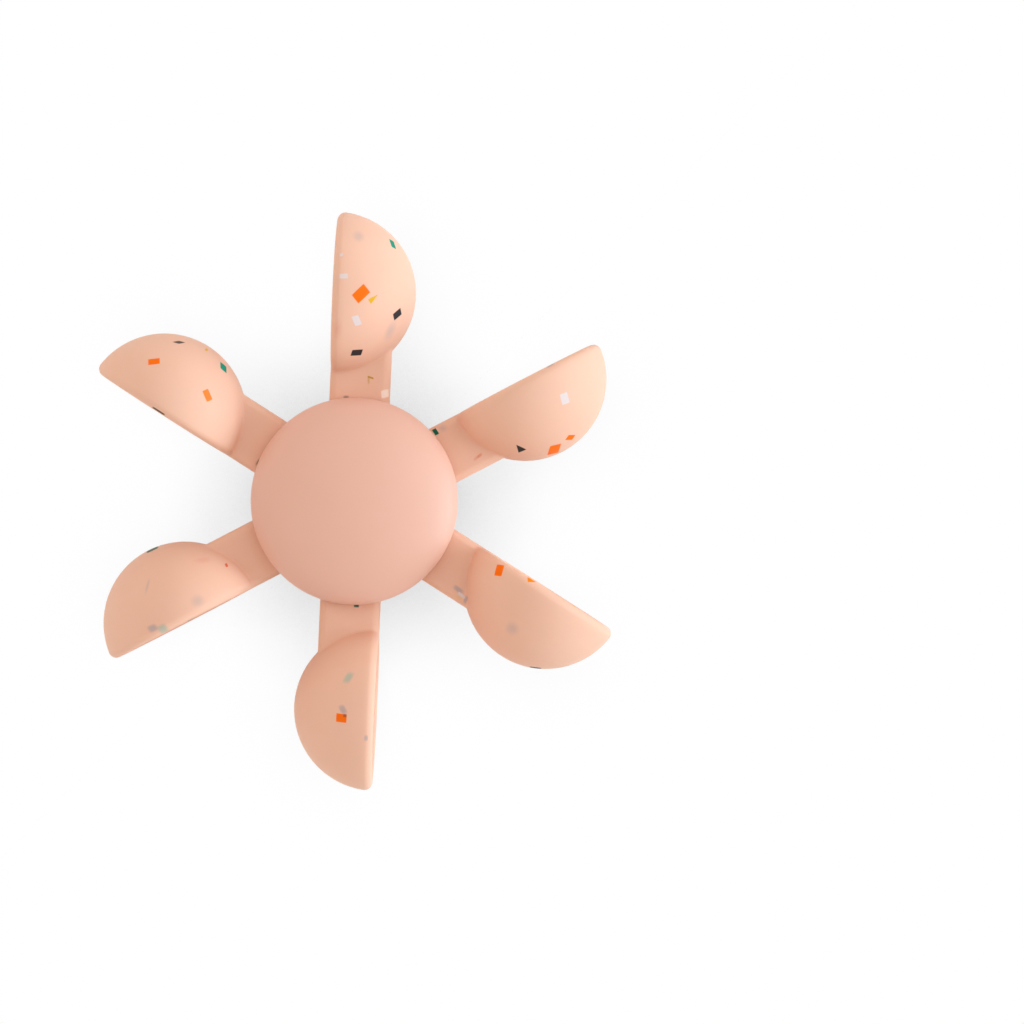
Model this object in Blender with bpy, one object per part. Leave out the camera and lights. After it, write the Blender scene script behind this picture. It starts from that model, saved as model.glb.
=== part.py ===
"""A bath water wheel: six silicone scoop arms held in a plastic hub that spins on a suction-cup base.

The toy lies on its suction cup, as it would on a level tub edge. +Z is the axle, running from the
surface that the cup grips to the front cap, and the origin is the middle of the cup's sealing rim.
Sizes are written in millimetres and MM turns them into metres.
"""

import math

import bmesh
import bpy
from mathutils import Vector

MM = 0.001

# Fits
GAP = 0.3 * MM  # between pieces that seat against each other
RUN = 0.3 * MM  # between turning and standing pieces
WELD = 0.001 * MM  # points closer than this are one

# Scoop arms
ARM_COUNT = 6
FIRST_ARM = math.radians(27.4)  # the first arm's direction, counter-clockwise from +X
ARM_WIDTH = 15.6 * MM  # across the arm, in the wheel's plane
ARM_DEPTH = 10.4 * MM  # along the axle
ARM_SHOWN = 5.8 * MM  # bare arm between the cap's edge and the bowl
SCOOP_RADIUS = 21.2 * MM  # outside of the hemispherical bowl
SCOOP_WALL = 3.8 * MM
EDGE_ROUND = 2.0 * MM  # along the arm's edges and the outside of the bowl's rim
MOUTH_ROUND = 1.4 * MM  # along the inside of the bowl's rim
BLEND = 1.2 * MM  # concave fillet where the bowl grows out of the arm

# Hub
HUB_FLOOR = 3.0 * MM
HUB_WALL = 2.4 * MM
HUB_ROUND = 2.0 * MM  # round of the rear edge
PEG_RADIUS = 2.4 * MM
PEG_SHORT = 0.6 * MM  # how far a peg stops below the arm's front face
BOSS_WALL = 0.9 * MM  # plastic round a clamp screw's pilot hole
CLAMP_WEB = 1.0 * MM  # plate left under a clamp screw's head
CLAMP_EDGE = 0.6 * MM  # plate left between a screw head's recess and the snap groove
CLAMP_EASE = 0.5 * MM  # bevel of the plate's front edge, which leads the cap on
SNAP_DEPTH = 0.5 * MM  # the cap's snap bead stands in by this much
SNAP_HEIGHT = 1.2 * MM

# Front cap
CAP_WALL = 1.8 * MM
CAP_DOME = 10.2 * MM  # rise of the half-ellipse dome above the skirt

# Spindle, bush and fasteners
SPINDLE_RADIUS = 4.0 * MM
SPINDLE_FOOT_RADIUS = 7.2 * MM
SPINDLE_FOOT = 1.6 * MM
BUSH_WALL = 2.0 * MM
BUSH_FLANGE = 1.2 * MM
BUSH_FLANGE_REACH = 1.8 * MM  # flange beyond the sleeve
WASHER = 1.0 * MM
THRUST_WASHER_REACH = 4.0 * MM  # washer beyond the spindle
CLAMP_SCREW_RADIUS = 1.1 * MM
CLAMP_SCREW_HEAD_RADIUS = 2.2 * MM
CLAMP_SCREW_HEAD = 1.7 * MM
CLAMP_SCREW_LENGTH = 9.0 * MM
SPINDLE_SCREW_RADIUS = 1.5 * MM
SPINDLE_SCREW_HEAD_RADIUS = 3.2 * MM
SPINDLE_SCREW_HEAD = 2.0 * MM
SPINDLE_SCREW_LENGTH = 10.0 * MM
SCREW_TIP = 0.6 * MM  # free depth past a screw's tip

# Suction-cup base
CUP_RADIUS = 24.0 * MM
CUP_HEIGHT = 8.0 * MM  # from the sealing rim to the shoulder that carries the housing
CUP_RIM = 2.4 * MM  # width of the flat sealing rim
CUP_LIP = 1.2 * MM  # thickness at the edge
CUP_WEB = 2.2 * MM  # thickness over the hollow's middle
STEM_RADIUS = 5.4 * MM
STEM_HEAD_RADIUS = 7.2 * MM
STEM_HEAD = 3.0 * MM
HOUSING_FLOOR = 2.4 * MM
HOUSING_WALL = 3.8 * MM
HOUSING_CEILING = 2.0 * MM
HOUSING_ROUND = 2.0 * MM

# Facets
WIDE_STEPS = 40  # round the hub, cap and cup
SMALL_STEPS = 24  # round the spindle and what fits on it
SCREW_STEPS = 16  # round pegs and screws
ROUND_STEPS = 3  # across a rounded edge
BOWL_STEPS = 8  # from a bowl's tip to its blend
DOME_STEPS = 4  # from a bowl's rim to its middle
CAP_STEPS = 6  # from the cap's skirt to its top

# Heights up the axle, each piece seated on the one below
HOUSING_BOTTOM = CUP_HEIGHT + GAP
STEM_HEAD_BOTTOM = HOUSING_BOTTOM + HOUSING_FLOOR + GAP
STEM_TOP = STEM_HEAD_BOTTOM + STEM_HEAD
FOOT_BOTTOM = STEM_TOP + GAP
FOOT_TOP = FOOT_BOTTOM + SPINDLE_FOOT
CEILING = FOOT_TOP + GAP
HOUSING_TOP = CEILING + HOUSING_CEILING
THRUST_WASHER_BOTTOM = HOUSING_TOP + GAP
HUB_BOTTOM = THRUST_WASHER_BOTTOM + WASHER + RUN
HUB_FLOOR_TOP = HUB_BOTTOM + HUB_FLOOR
ARM_REAR = HUB_FLOOR_TOP + GAP
ARM_MIDDLE = ARM_REAR + ARM_DEPTH / 2
ARM_FRONT = ARM_REAR + ARM_DEPTH
CLAMP_BOTTOM = ARM_FRONT + GAP
CLAMP_RECESS = CLAMP_BOTTOM + CLAMP_WEB
CLAMP_TOP = CLAMP_RECESS + GAP + CLAMP_SCREW_HEAD
BUSH_TOP = CLAMP_BOTTOM + BUSH_FLANGE
SPINDLE_TOP = BUSH_TOP + RUN
RETAINER_BOTTOM = SPINDLE_TOP + GAP
SPINDLE_SCREW_SEAT = RETAINER_BOTTOM + WASHER + GAP
CAP_BOTTOM = CLAMP_BOTTOM
CAP_SPRING = CLAMP_TOP - CLAMP_EASE + GAP  # where the skirt turns into the dome

# Places across the wheel, worked outwards from the ring of arm roots
HALF_PITCH = math.pi / ARM_COUNT
CORE_FLAT = ARM_WIDTH / 2 / math.tan(HALF_PITCH)  # middle of the core to each of its flats
ARM_ROOT = CORE_FLAT + GAP
CLAMP_SCREW_HOLE = CLAMP_SCREW_RADIUS + GAP
BOSS_RADIUS = CLAMP_SCREW_HOLE + BOSS_WALL
BOSS_CIRCLE = (BOSS_RADIUS + ARM_WIDTH / 2 + GAP) / math.sin(HALF_PITCH)
SCREW_RECESS = CLAMP_SCREW_HEAD_RADIUS + GAP
GROOVE_DEPTH = SNAP_DEPTH + GAP
HUB_RADIUS = BOSS_CIRCLE + max(SCREW_RECESS, BOSS_RADIUS) + CLAMP_EDGE + GROOVE_DEPTH
CAP_INSIDE = HUB_RADIUS + GAP
CAP_RADIUS = CAP_INSIDE + CAP_WALL
SCOOP_CENTRE = CAP_RADIUS + ARM_SHOWN + SCOOP_RADIUS
PEG_CIRCLE = (ARM_ROOT + HUB_RADIUS - HUB_WALL) / 2
BUSH_BORE = SPINDLE_RADIUS + RUN
BUSH_RADIUS = BUSH_BORE + BUSH_WALL
BUSH_FLANGE_RADIUS = BUSH_RADIUS + BUSH_FLANGE_REACH
HUB_BORE = BUSH_RADIUS + GAP
CHAMBER_RADIUS = max(STEM_HEAD_RADIUS, SPINDLE_FOOT_RADIUS) + GAP
HOUSING_RADIUS = CHAMBER_RADIUS + HOUSING_WALL
EDGE = min(EDGE_ROUND, 0.55 * SCOOP_WALL, 0.45 * ARM_DEPTH, 0.45 * ARM_WIDTH)
MOUTH = min(MOUTH_ROUND, 0.38 * SCOOP_WALL)


def clear_scene():
    for old in list(bpy.data.objects):
        bpy.data.objects.remove(old)


def linear(channel):
    """An sRGB channel, 0 to 255, as the linear value that a shader takes."""
    share = channel / 255
    return share / 12.92 if share <= 0.04045 else ((share + 0.055) / 1.055) ** 2.4


def finish(name, rgb, roughness, metallic=0.0):
    material = bpy.data.materials.new(name)
    material.use_nodes = True
    shader = material.node_tree.nodes["Principled BSDF"]
    shader.inputs["Base Color"].default_value = (*map(linear, rgb), 1.0)
    shader.inputs["Roughness"].default_value = roughness
    shader.inputs["Metallic"].default_value = metallic
    return material


def arc(centre, radius, start, end, steps=ROUND_STEPS):
    """Points on a circle from the angle start to the angle end, both included, in degrees."""
    turns = [math.radians(start + (end - start) * k / steps) for k in range(steps + 1)]
    return [(centre[0] + radius * math.cos(a), centre[1] + radius * math.sin(a)) for a in turns]


def piece(name, bm, material, parent=None):
    """Turns a bmesh into a named object, smooth but for its sharp edges, and hangs it on an empty."""
    bmesh.ops.remove_doubles(bm, verts=bm.verts, dist=WELD)
    bmesh.ops.recalc_face_normals(bm, faces=bm.faces)
    mesh = bpy.data.meshes.new(name)
    bm.to_mesh(mesh)
    bm.free()
    mesh.shade_smooth()
    mesh.set_sharp_from_angle(angle=math.radians(40))
    if material:
        mesh.materials.append(material)
    made = bpy.data.objects.new(name, mesh)
    bpy.context.scene.collection.objects.link(made)
    made.parent = parent
    return made


def turned_mesh(profile, steps):
    """A solid of revolution about Z. The profile is an outline of (radius, height) points: one that
    starts and ends on the axis makes a solid piece, and any other closes on itself and makes a ring. A
    flat end that crosses the axis becomes one face."""
    bm = bmesh.new()
    points = [bm.verts.new((radius, 0, height)) for radius, height in profile]
    solid = profile[0][0] == 0 and profile[-1][0] == 0
    ends = points[1:] if solid else points[1:] + points[:1]
    lines = [bm.edges.new(pair) for pair in zip(points, ends)]
    bmesh.ops.spin(
        bm,
        geom=points + lines,
        cent=(0, 0, 0),
        axis=(0, 0, 1),
        angle=math.tau,
        steps=steps,
        use_merge=True,
    )
    bmesh.ops.remove_doubles(bm, verts=bm.verts, dist=WELD)
    flat_middles = [
        middle
        for middle in bm.verts
        if middle.co.xy.length < WELD
        and all(abs(line.other_vert(middle).co.z - middle.co.z) < WELD for line in middle.link_edges)
    ]
    bmesh.ops.dissolve_verts(bm, verts=flat_middles)
    return bm


def turned(name, profile, steps, material, parent=None):
    return piece(name, turned_mesh(profile, steps), material, parent)


def rod(name, radius, bottom, top, steps=SCREW_STEPS):
    """A plain upright cylinder, used to add a peg or to cut a hole."""
    return turned(name, [(0, bottom), (radius, bottom), (radius, top), (0, top)], steps, None)


def prism(name, corners, bottom, top):
    """An upright prism on a flat outline of (x, y) corners."""
    bm = bmesh.new()
    floor = bm.faces.new([bm.verts.new((x, y, bottom)) for x, y in corners])
    sides = bmesh.ops.extrude_face_region(bm, geom=[floor])["geom"]
    raised = [v for v in sides if isinstance(v, bmesh.types.BMVert)]
    bmesh.ops.translate(bm, verts=raised, vec=(0, 0, top - bottom))
    return piece(name, bm, None)


def combine(target, tool, operation):
    """Joins a helper to a piece, or cuts it out, and hides the helper."""
    change = target.modifiers.new(tool.name, "BOOLEAN")
    change.operation = operation
    change.solver = "EXACT"
    change.object = tool
    tool.hide_render = True
    tool.display_type = "WIRE"


def put(tool, radius, angle):
    """Moves a helper out to a radius and turns it about the axle."""
    tool.location = (radius * math.cos(angle), radius * math.sin(angle), 0)
    tool.rotation_euler.z = angle
    return tool


def arm_angles():
    return [FIRST_ARM + 2 * HALF_PITCH * k for k in range(ARM_COUNT)]


def screw_angles():
    """A clamp screw stands in every second gap between two arms."""
    return [angle + HALF_PITCH for angle in arm_angles()[0 : 2 * (ARM_COUNT // 2) : 2]]


# Scoop arm: a spoon moulded in one piece, lofted through outlines parallel to the bowl's open face


def half_outline(bowl, strip):
    """One side of the spoon's outline at some depth, from the middle of its root to the bowl's tip, as
    (along, up) from the bowl's centre. bowl is the bowl's radius there and strip half the arm's depth."""
    root = ARM_ROOT - SCOOP_CENTRE
    corner = math.sqrt((bowl + BLEND) ** 2 - (strip + BLEND) ** 2)
    meet = math.degrees(math.atan2(strip + BLEND, -corner))
    blend = arc((-corner, strip + BLEND), BLEND, -90, meet - 180)
    return [(root, 0), (root, strip), *blend, *arc((0, 0), bowl, meet, 0, BOWL_STEPS)[1:]]


def ring(half, depth):
    """A closed ring of points at a depth behind the open face, from one side of a symmetric outline."""
    both = half + [(x, -z) for x, z in reversed(half[1:-1])]
    return [Vector((SCOOP_CENTRE + x, ARM_WIDTH / 2 - depth, z)) for x, z in both]


def round_ring(radius, depth, like):
    """A ring on a circle, with its points in the directions of those of the outline like."""
    angles = [math.atan2(z, x) for x, z in like]
    return ring([(radius * math.cos(a), radius * math.sin(a)) for a in angles], depth)


def scoop_rings():
    """The rings of a scoop arm, from the middle of the bowl's inside, over the rim and the arm, to the
    middle of its back."""
    inside = SCOOP_RADIUS - SCOOP_WALL
    inner_rim = math.sqrt((inside + MOUTH) ** 2 - MOUTH**2)
    outer_rim = math.sqrt((SCOOP_RADIUS - EDGE) ** 2 - EDGE**2)
    flat_strip = ARM_DEPTH / 2 - EDGE
    like = half_outline(outer_rim + EDGE, ARM_DEPTH / 2)
    rings = []

    lip = math.degrees(math.atan2(inner_rim, MOUTH))
    for along, depth in arc((0, 0), inside, 90, 90 - lip, DOME_STEPS):
        rings.append(round_ring(along, depth, like))
    for along, depth in arc((inner_rim, MOUTH), MOUTH, 270 - lip, 270, 2)[1:]:
        rings.append(round_ring(along, depth, like))

    for k in range(ROUND_STEPS + 1):
        turn = math.pi / 2 * k / ROUND_STEPS
        grow = EDGE * math.sin(turn)
        rings.append(ring(half_outline(outer_rim + grow, flat_strip + grow), EDGE * (1 - math.cos(turn))))
    for k in range(1, 4):
        depth = EDGE + (ARM_WIDTH - 2 * EDGE) * k / 3
        rings.append(ring(half_outline(math.sqrt(SCOOP_RADIUS**2 - depth**2), ARM_DEPTH / 2), depth))
    for k in range(1, 3):
        turn = math.pi / 2 * k / 2
        depth = ARM_WIDTH - EDGE + EDGE * math.sin(turn)
        strip = flat_strip + EDGE * math.cos(turn)
        rings.append(ring(half_outline(math.sqrt(SCOOP_RADIUS**2 - depth**2), strip), depth))

    back = half_outline(math.sqrt(SCOOP_RADIUS**2 - ARM_WIDTH**2), flat_strip)
    foot = math.sqrt((SCOOP_RADIUS + BLEND) ** 2 - (ARM_WIDTH + BLEND) ** 2)
    lean = math.degrees(math.atan2(ARM_WIDTH + BLEND, foot))
    for along, depth in arc((foot, ARM_WIDTH + BLEND), BLEND, 270, 180 + lean, 2)[:-1]:
        rising = ring(back, ARM_WIDTH)
        side = flat_strip / 2
        for index, up in ((0, 0), (1, side), (-1, -side)):
            reach = math.sqrt(along**2 - up**2)
            rising[index] = Vector((SCOOP_CENTRE - reach, ARM_WIDTH / 2 - depth, up))
        rings.append(rising)
    for along, depth in arc((0, 0), SCOOP_RADIUS, lean, 90, DOME_STEPS - 1):
        rings.append(round_ring(along, depth, like))
    return rings


def build_scoop_arm(number, angle, silicone, axle):
    bm = bmesh.new()
    loops = [[bm.verts.new(point) for point in points] for points in scoop_rings()]
    for near, far in zip(loops, loops[1:]):
        for k in range(len(near)):
            bm.faces.new((near[k - 1], near[k], far[k], far[k - 1]))
    arm = piece(f"scoop_arm_{number}", bm, silicone, axle)
    arm.location.z = ARM_MIDDLE
    arm.rotation_euler.z = angle
    hole = put(rod(f"arm_hole_{number}", PEG_RADIUS + GAP, ARM_REAR - GAP, ARM_FRONT + GAP), PEG_CIRCLE, angle)
    combine(arm, hole, "DIFFERENCE")


# Hub: a slotted cup with a core that the arm roots butt against, closed by a screwed clamp plate


def build_hub_base(plastic, axle):
    inside = HUB_RADIUS - HUB_WALL
    edge = arc((HUB_RADIUS - HUB_ROUND, HUB_BOTTOM + HUB_ROUND), HUB_ROUND, -90, 0)
    profile = [
        (0, HUB_BOTTOM),
        *edge,
        (HUB_RADIUS, ARM_FRONT),
        (inside, ARM_FRONT),
        (inside, HUB_FLOOR_TOP),
        (0, HUB_FLOOR_TOP),
    ]
    hub = turned("hub_base", profile, WIDE_STEPS, plastic, axle)
    sunk = HUB_FLOOR_TOP - HUB_FLOOR / 2

    reach = CORE_FLAT / math.cos(HALF_PITCH)
    corners = [
        (reach * math.cos(a + HALF_PITCH), reach * math.sin(a + HALF_PITCH)) for a in arm_angles()
    ]
    combine(hub, prism("hub_core", corners, sunk, ARM_FRONT), "UNION")
    for number, angle in enumerate(arm_angles(), 1):
        peg = rod(f"hub_peg_{number}", PEG_RADIUS, sunk, ARM_FRONT - PEG_SHORT)
        combine(hub, put(peg, PEG_CIRCLE, angle), "UNION")
        half = ARM_WIDTH / 2 + GAP
        outside = HUB_RADIUS + HUB_WALL
        inner = inside - HUB_WALL
        window = [(inner, -half), (outside, -half), (outside, half), (inner, half)]
        slot = prism(f"hub_slot_{number}", window, HUB_FLOOR_TOP - GAP, ARM_FRONT + HUB_FLOOR)
        combine(hub, put(slot, 0, angle), "DIFFERENCE")
    for number, angle in enumerate(screw_angles(), 1):
        boss = rod(f"hub_boss_{number}", BOSS_RADIUS, sunk, ARM_FRONT - GAP)
        combine(hub, put(boss, BOSS_CIRCLE, angle), "UNION")
    for number, angle in enumerate(screw_angles(), 1):
        tip = CLAMP_RECESS + GAP - CLAMP_SCREW_LENGTH - SCREW_TIP
        pilot = rod(f"hub_pilot_{number}", CLAMP_SCREW_HOLE, tip, ARM_FRONT + GAP)
        combine(hub, put(pilot, BOSS_CIRCLE, angle), "DIFFERENCE")
    bore = rod("hub_bore", HUB_BORE, HUB_BOTTOM - GAP, ARM_FRONT + GAP, SMALL_STEPS)
    combine(hub, bore, "DIFFERENCE")


def build_hub_bush(acetal, axle):
    profile = [
        (BUSH_BORE, HUB_BOTTOM),
        (BUSH_RADIUS, HUB_BOTTOM),
        (BUSH_RADIUS, CLAMP_BOTTOM),
        (BUSH_FLANGE_RADIUS, CLAMP_BOTTOM),
        (BUSH_FLANGE_RADIUS, BUSH_TOP),
        (BUSH_BORE, BUSH_TOP),
    ]
    turned("hub_bush", profile, SMALL_STEPS, acetal, axle)


def build_clamp_plate(plastic, axle):
    middle = (CLAMP_BOTTOM + CLAMP_TOP) / 2
    half_groove = SNAP_HEIGHT / 2 + GAP
    hole = BUSH_FLANGE_RADIUS + GAP
    profile = [
        (hole, CLAMP_BOTTOM),
        (HUB_RADIUS, CLAMP_BOTTOM),
        (HUB_RADIUS, middle - half_groove),
        (HUB_RADIUS - GROOVE_DEPTH, middle),
        (HUB_RADIUS, middle + half_groove),
        (HUB_RADIUS, CLAMP_TOP - CLAMP_EASE),
        (HUB_RADIUS - CLAMP_EASE, CLAMP_TOP),
        (hole, CLAMP_TOP),
    ]
    plate = turned("clamp_plate", profile, WIDE_STEPS, plastic, axle)
    for number, angle in enumerate(screw_angles(), 1):
        stepped = [
            (0, CLAMP_BOTTOM - GAP),
            (CLAMP_SCREW_HOLE, CLAMP_BOTTOM - GAP),
            (CLAMP_SCREW_HOLE, CLAMP_RECESS),
            (SCREW_RECESS, CLAMP_RECESS),
            (SCREW_RECESS, CLAMP_TOP + GAP),
            (0, CLAMP_TOP + GAP),
        ]
        recess = turned(f"clamp_recess_{number}", stepped, SCREW_STEPS, None)
        combine(plate, put(recess, BOSS_CIRCLE, angle), "DIFFERENCE")


def screw_profile(radius, length, head_radius, head, seat):
    """A pan-head screw standing on its tip: seat is the height of the head's underside."""
    rounding = head / 2
    crown = arc((head_radius - rounding, seat + head - rounding), rounding, 0, 90, 2)
    return [
        (0, seat - length),
        (radius / 2, seat - length),
        (radius, seat - length + radius),
        (radius, seat),
        (head_radius, seat),
        *crown,
        (0, seat + head),
    ]


def build_clamp_screws(steel, axle):
    seat = CLAMP_RECESS + GAP
    profile = screw_profile(
        CLAMP_SCREW_RADIUS, CLAMP_SCREW_LENGTH, CLAMP_SCREW_HEAD_RADIUS, CLAMP_SCREW_HEAD, seat
    )
    for number, angle in enumerate(screw_angles(), 1):
        screw = turned(f"clamp_screw_{number}", profile, SCREW_STEPS, steel, axle)
        put(screw, BOSS_CIRCLE, angle)


def dome(radius, rise):
    """A half-ellipse dome's outline from its foot to its top, as (radius, height) points."""
    turns = [math.pi / 2 * k / CAP_STEPS for k in range(CAP_STEPS)]
    climb = [(radius * math.cos(a), CAP_SPRING + rise * math.sin(a)) for a in turns]
    return [*climb, (0, CAP_SPRING + rise)]


def build_hub_cap(plastic, axle):
    """A domed cap whose skirt snaps over the clamp plate's edge."""
    middle = (CLAMP_BOTTOM + CLAMP_TOP) / 2
    profile = [
        *reversed(dome(CAP_INSIDE, CAP_DOME - CAP_WALL)),
        (CAP_INSIDE, middle + SNAP_HEIGHT / 2),
        (CAP_INSIDE - SNAP_DEPTH, middle),
        (CAP_INSIDE, middle - SNAP_HEIGHT / 2),
        (CAP_INSIDE, CAP_BOTTOM),
        (CAP_RADIUS, CAP_BOTTOM),
        *dome(CAP_RADIUS, CAP_DOME),
    ]
    turned("hub_cap", profile, WIDE_STEPS, plastic, axle)


# Base: the standing half, which grips the tub and carries the axle


def build_suction_cup(silicone):
    """A shallow cup with a flat sealing rim, and a stem whose head snaps into the housing."""
    hollow = CUP_RADIUS - CUP_RIM
    ceiling = CUP_HEIGHT - CUP_WEB
    under = [(hollow * k / 6, ceiling * (1 - (k / 6) ** 2)) for k in range(7)]
    shoulder = HOUSING_RADIUS
    skirt = [
        (
            CUP_RADIUS + (shoulder - CUP_RADIUS) * k / 5,
            CUP_LIP + (CUP_HEIGHT - CUP_LIP) * math.sin(math.pi / 2 * k / 5) ** 1.5,
        )
        for k in range(6)
    ]
    bevel = STEM_HEAD / 3
    profile = [
        *under,
        (CUP_RADIUS, 0),
        *skirt,
        (STEM_RADIUS, CUP_HEIGHT),
        (STEM_RADIUS, STEM_HEAD_BOTTOM),
        (STEM_HEAD_RADIUS, STEM_HEAD_BOTTOM),
        (STEM_HEAD_RADIUS, STEM_TOP - bevel),
        (STEM_HEAD_RADIUS - bevel, STEM_TOP),
        (0, STEM_TOP),
    ]
    turned("suction_cup", profile, WIDE_STEPS, silicone)


def build_base_housing(plastic):
    """A turned collar: the cup's stem snaps into it from behind, under the spindle's foot."""
    neck = STEM_RADIUS + GAP
    floor_top = HOUSING_BOTTOM + HOUSING_FLOOR
    shaft = SPINDLE_RADIUS + GAP
    low = arc((HOUSING_RADIUS - HOUSING_ROUND, HOUSING_BOTTOM + HOUSING_ROUND), HOUSING_ROUND, -90, 0)
    high = arc((HOUSING_RADIUS - HOUSING_ROUND, HOUSING_TOP - HOUSING_ROUND), HOUSING_ROUND, 0, 90)
    profile = [
        (neck, HOUSING_BOTTOM),
        *low,
        *high,
        (shaft, HOUSING_TOP),
        (shaft, CEILING),
        (CHAMBER_RADIUS, CEILING),
        (CHAMBER_RADIUS, floor_top),
        (neck, floor_top),
    ]
    turned("base_housing", profile, WIDE_STEPS, plastic)


def build_spindle(acetal):
    """A turned pin with a foot below and a screw hole in its front end."""
    hole = SPINDLE_SCREW_RADIUS + GAP
    bottom = SPINDLE_SCREW_SEAT - SPINDLE_SCREW_LENGTH - SCREW_TIP
    profile = [
        (0, FOOT_BOTTOM),
        (SPINDLE_FOOT_RADIUS, FOOT_BOTTOM),
        (SPINDLE_FOOT_RADIUS, FOOT_TOP),
        (SPINDLE_RADIUS, FOOT_TOP),
        (SPINDLE_RADIUS, SPINDLE_TOP),
        (hole, SPINDLE_TOP),
        (hole, bottom),
        (0, bottom),
    ]
    turned("spindle", profile, SMALL_STEPS, acetal)


def build_washer(name, hole, outside, bottom, material):
    top = bottom + WASHER
    profile = [(hole, bottom), (outside, bottom), (outside, top), (hole, top)]
    turned(name, profile, SMALL_STEPS, material)


def build_spindle_screw(steel):
    profile = screw_profile(
        SPINDLE_SCREW_RADIUS,
        SPINDLE_SCREW_LENGTH,
        SPINDLE_SCREW_HEAD_RADIUS,
        SPINDLE_SCREW_HEAD,
        SPINDLE_SCREW_SEAT,
    )
    turned("spindle_screw", profile, SCREW_STEPS, steel)


def main():
    clear_scene()
    confetti_silicone = finish("confetti_silicone", (236, 186, 160), 0.55)
    blush_plastic = finish("blush_plastic", (232, 184, 166), 0.5)
    cup_silicone = finish("cup_silicone", (234, 190, 170), 0.4)
    acetal = finish("acetal", (238, 236, 230), 0.35)
    steel = finish("stainless_steel", (186, 186, 188), 0.3, 1.0)

    axle = bpy.data.objects.new("wheel_axle", None)
    bpy.context.scene.collection.objects.link(axle)

    build_suction_cup(cup_silicone)
    build_base_housing(blush_plastic)
    build_spindle(acetal)
    build_washer(
        "thrust_washer",
        SPINDLE_RADIUS + GAP,
        SPINDLE_RADIUS + THRUST_WASHER_REACH,
        THRUST_WASHER_BOTTOM,
        acetal,
    )
    build_washer(
        "retaining_washer",
        SPINDLE_SCREW_RADIUS + GAP,
        BUSH_RADIUS,
        RETAINER_BOTTOM,
        steel,
    )
    build_spindle_screw(steel)

    build_hub_base(blush_plastic, axle)
    build_hub_bush(acetal, axle)
    for number, angle in enumerate(arm_angles(), 1):
        build_scoop_arm(number, angle, confetti_silicone, axle)
    build_clamp_plate(blush_plastic, axle)
    build_clamp_screws(steel, axle)
    build_hub_cap(blush_plastic, axle)


main()
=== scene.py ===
"""A bath water wheel, dressed: fine surfaces, finishes, a plain studio and a camera.

Six flecked silicone scoop arms are clamped in a plastic hub with a domed cap. The hub spins on a
spindle that a suction-cup base carries. The toy lies on its cup and +Z is the axle. Sizes are
millimetres times MM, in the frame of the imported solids.
"""

import math
from functools import partial

import bmesh
import bpy
import numpy as np
from mathutils import Matrix


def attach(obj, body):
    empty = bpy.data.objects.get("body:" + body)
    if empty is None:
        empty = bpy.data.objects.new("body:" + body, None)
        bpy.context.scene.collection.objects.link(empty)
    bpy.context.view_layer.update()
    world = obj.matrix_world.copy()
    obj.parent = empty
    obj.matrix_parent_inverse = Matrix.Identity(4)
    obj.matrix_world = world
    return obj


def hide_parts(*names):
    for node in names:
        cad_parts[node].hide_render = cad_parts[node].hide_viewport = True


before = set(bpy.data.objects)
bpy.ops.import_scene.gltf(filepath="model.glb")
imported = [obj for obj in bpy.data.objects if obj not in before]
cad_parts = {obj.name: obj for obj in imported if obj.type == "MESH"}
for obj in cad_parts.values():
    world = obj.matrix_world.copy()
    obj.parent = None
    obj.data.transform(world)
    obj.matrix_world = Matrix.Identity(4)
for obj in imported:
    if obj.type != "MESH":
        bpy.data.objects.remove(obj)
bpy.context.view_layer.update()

# Camera: looks straight down on the wheel from well above, through a long lens.
# The picture is square, and the wheel stands left of its middle.
MM = 0.001
CAMERA_HEIGHT = 1600 * MM
CAMERA_ASIDE = 40.8 * MM
CAMERA_BACK = -2.8 * MM
CAMERA_LENS = 212.5
CAMERA_SENSOR = 36.0

camera_data = bpy.data.cameras.new("camera")
camera_data.lens = CAMERA_LENS
camera_data.sensor_width = CAMERA_SENSOR
camera = bpy.data.objects.new("camera", camera_data)
camera.location = (CAMERA_ASIDE, CAMERA_BACK, CAMERA_HEIGHT)
bpy.context.scene.collection.objects.link(camera)
bpy.context.scene.camera = camera
bpy.context.scene.view_settings.view_transform = "Standard"

# Suction cup: a shallow cup moulded in soft blush silicone, thin at its sealing rim.
# Its stem ends in a button that is pushed through the housing's floor and stays there.
CUP_RADIUS = 24.0 * MM
CUP_HEIGHT = 8.0 * MM
CUP_RIM = 2.4 * MM
CUP_LIP = 1.2 * MM
CUP_WEB = 2.2 * MM
CUP_SWELL = 1.5
CUP_SOFT_EDGE = 0.35 * MM
GAP = 0.3 * MM
HOUSING_RADIUS = 11.3 * MM
HOUSING_FLOOR = 2.4 * MM
STEM_RADIUS = 5.4 * MM
STEM_HEAD_RADIUS = 7.2 * MM
STEM_HEAD = 3.0 * MM
STEM_HEAD_ROUND = 1.2 * MM
STEM_HEAD_BOTTOM = CUP_HEIGHT + HOUSING_FLOOR + 2 * GAP
STEM_TOP = STEM_HEAD_BOTTOM + STEM_HEAD
CUP_BLUSH = (234, 190, 170)
CUP_BLUSH_DEEP = (229, 181, 160)
CUP_RINGS = 25
WIDE_TURNS = 192
ROUND_STEPS = 8
FLAT_LEAD = 0.3
WELD = 0.002 * MM
CREASE = 40
RED_GREEN_BLUE_DEPTH = (1.0, 0.45, 0.3)


def linear(rgb):
    """An sRGB colour, 0 to 255, as the linear colour that a shader takes: the inverse of its curve."""
    share = np.array(rgb) / 255
    return (*np.where(share <= 0.04045, share / 12.92, ((share + 0.055) / 1.055) ** 2.4), 1.0)


def curve(across, up):
    """Points of a smooth stretch of an outline, as corners that need no rounding."""
    return np.column_stack((across, up, np.zeros_like(across)))


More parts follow.
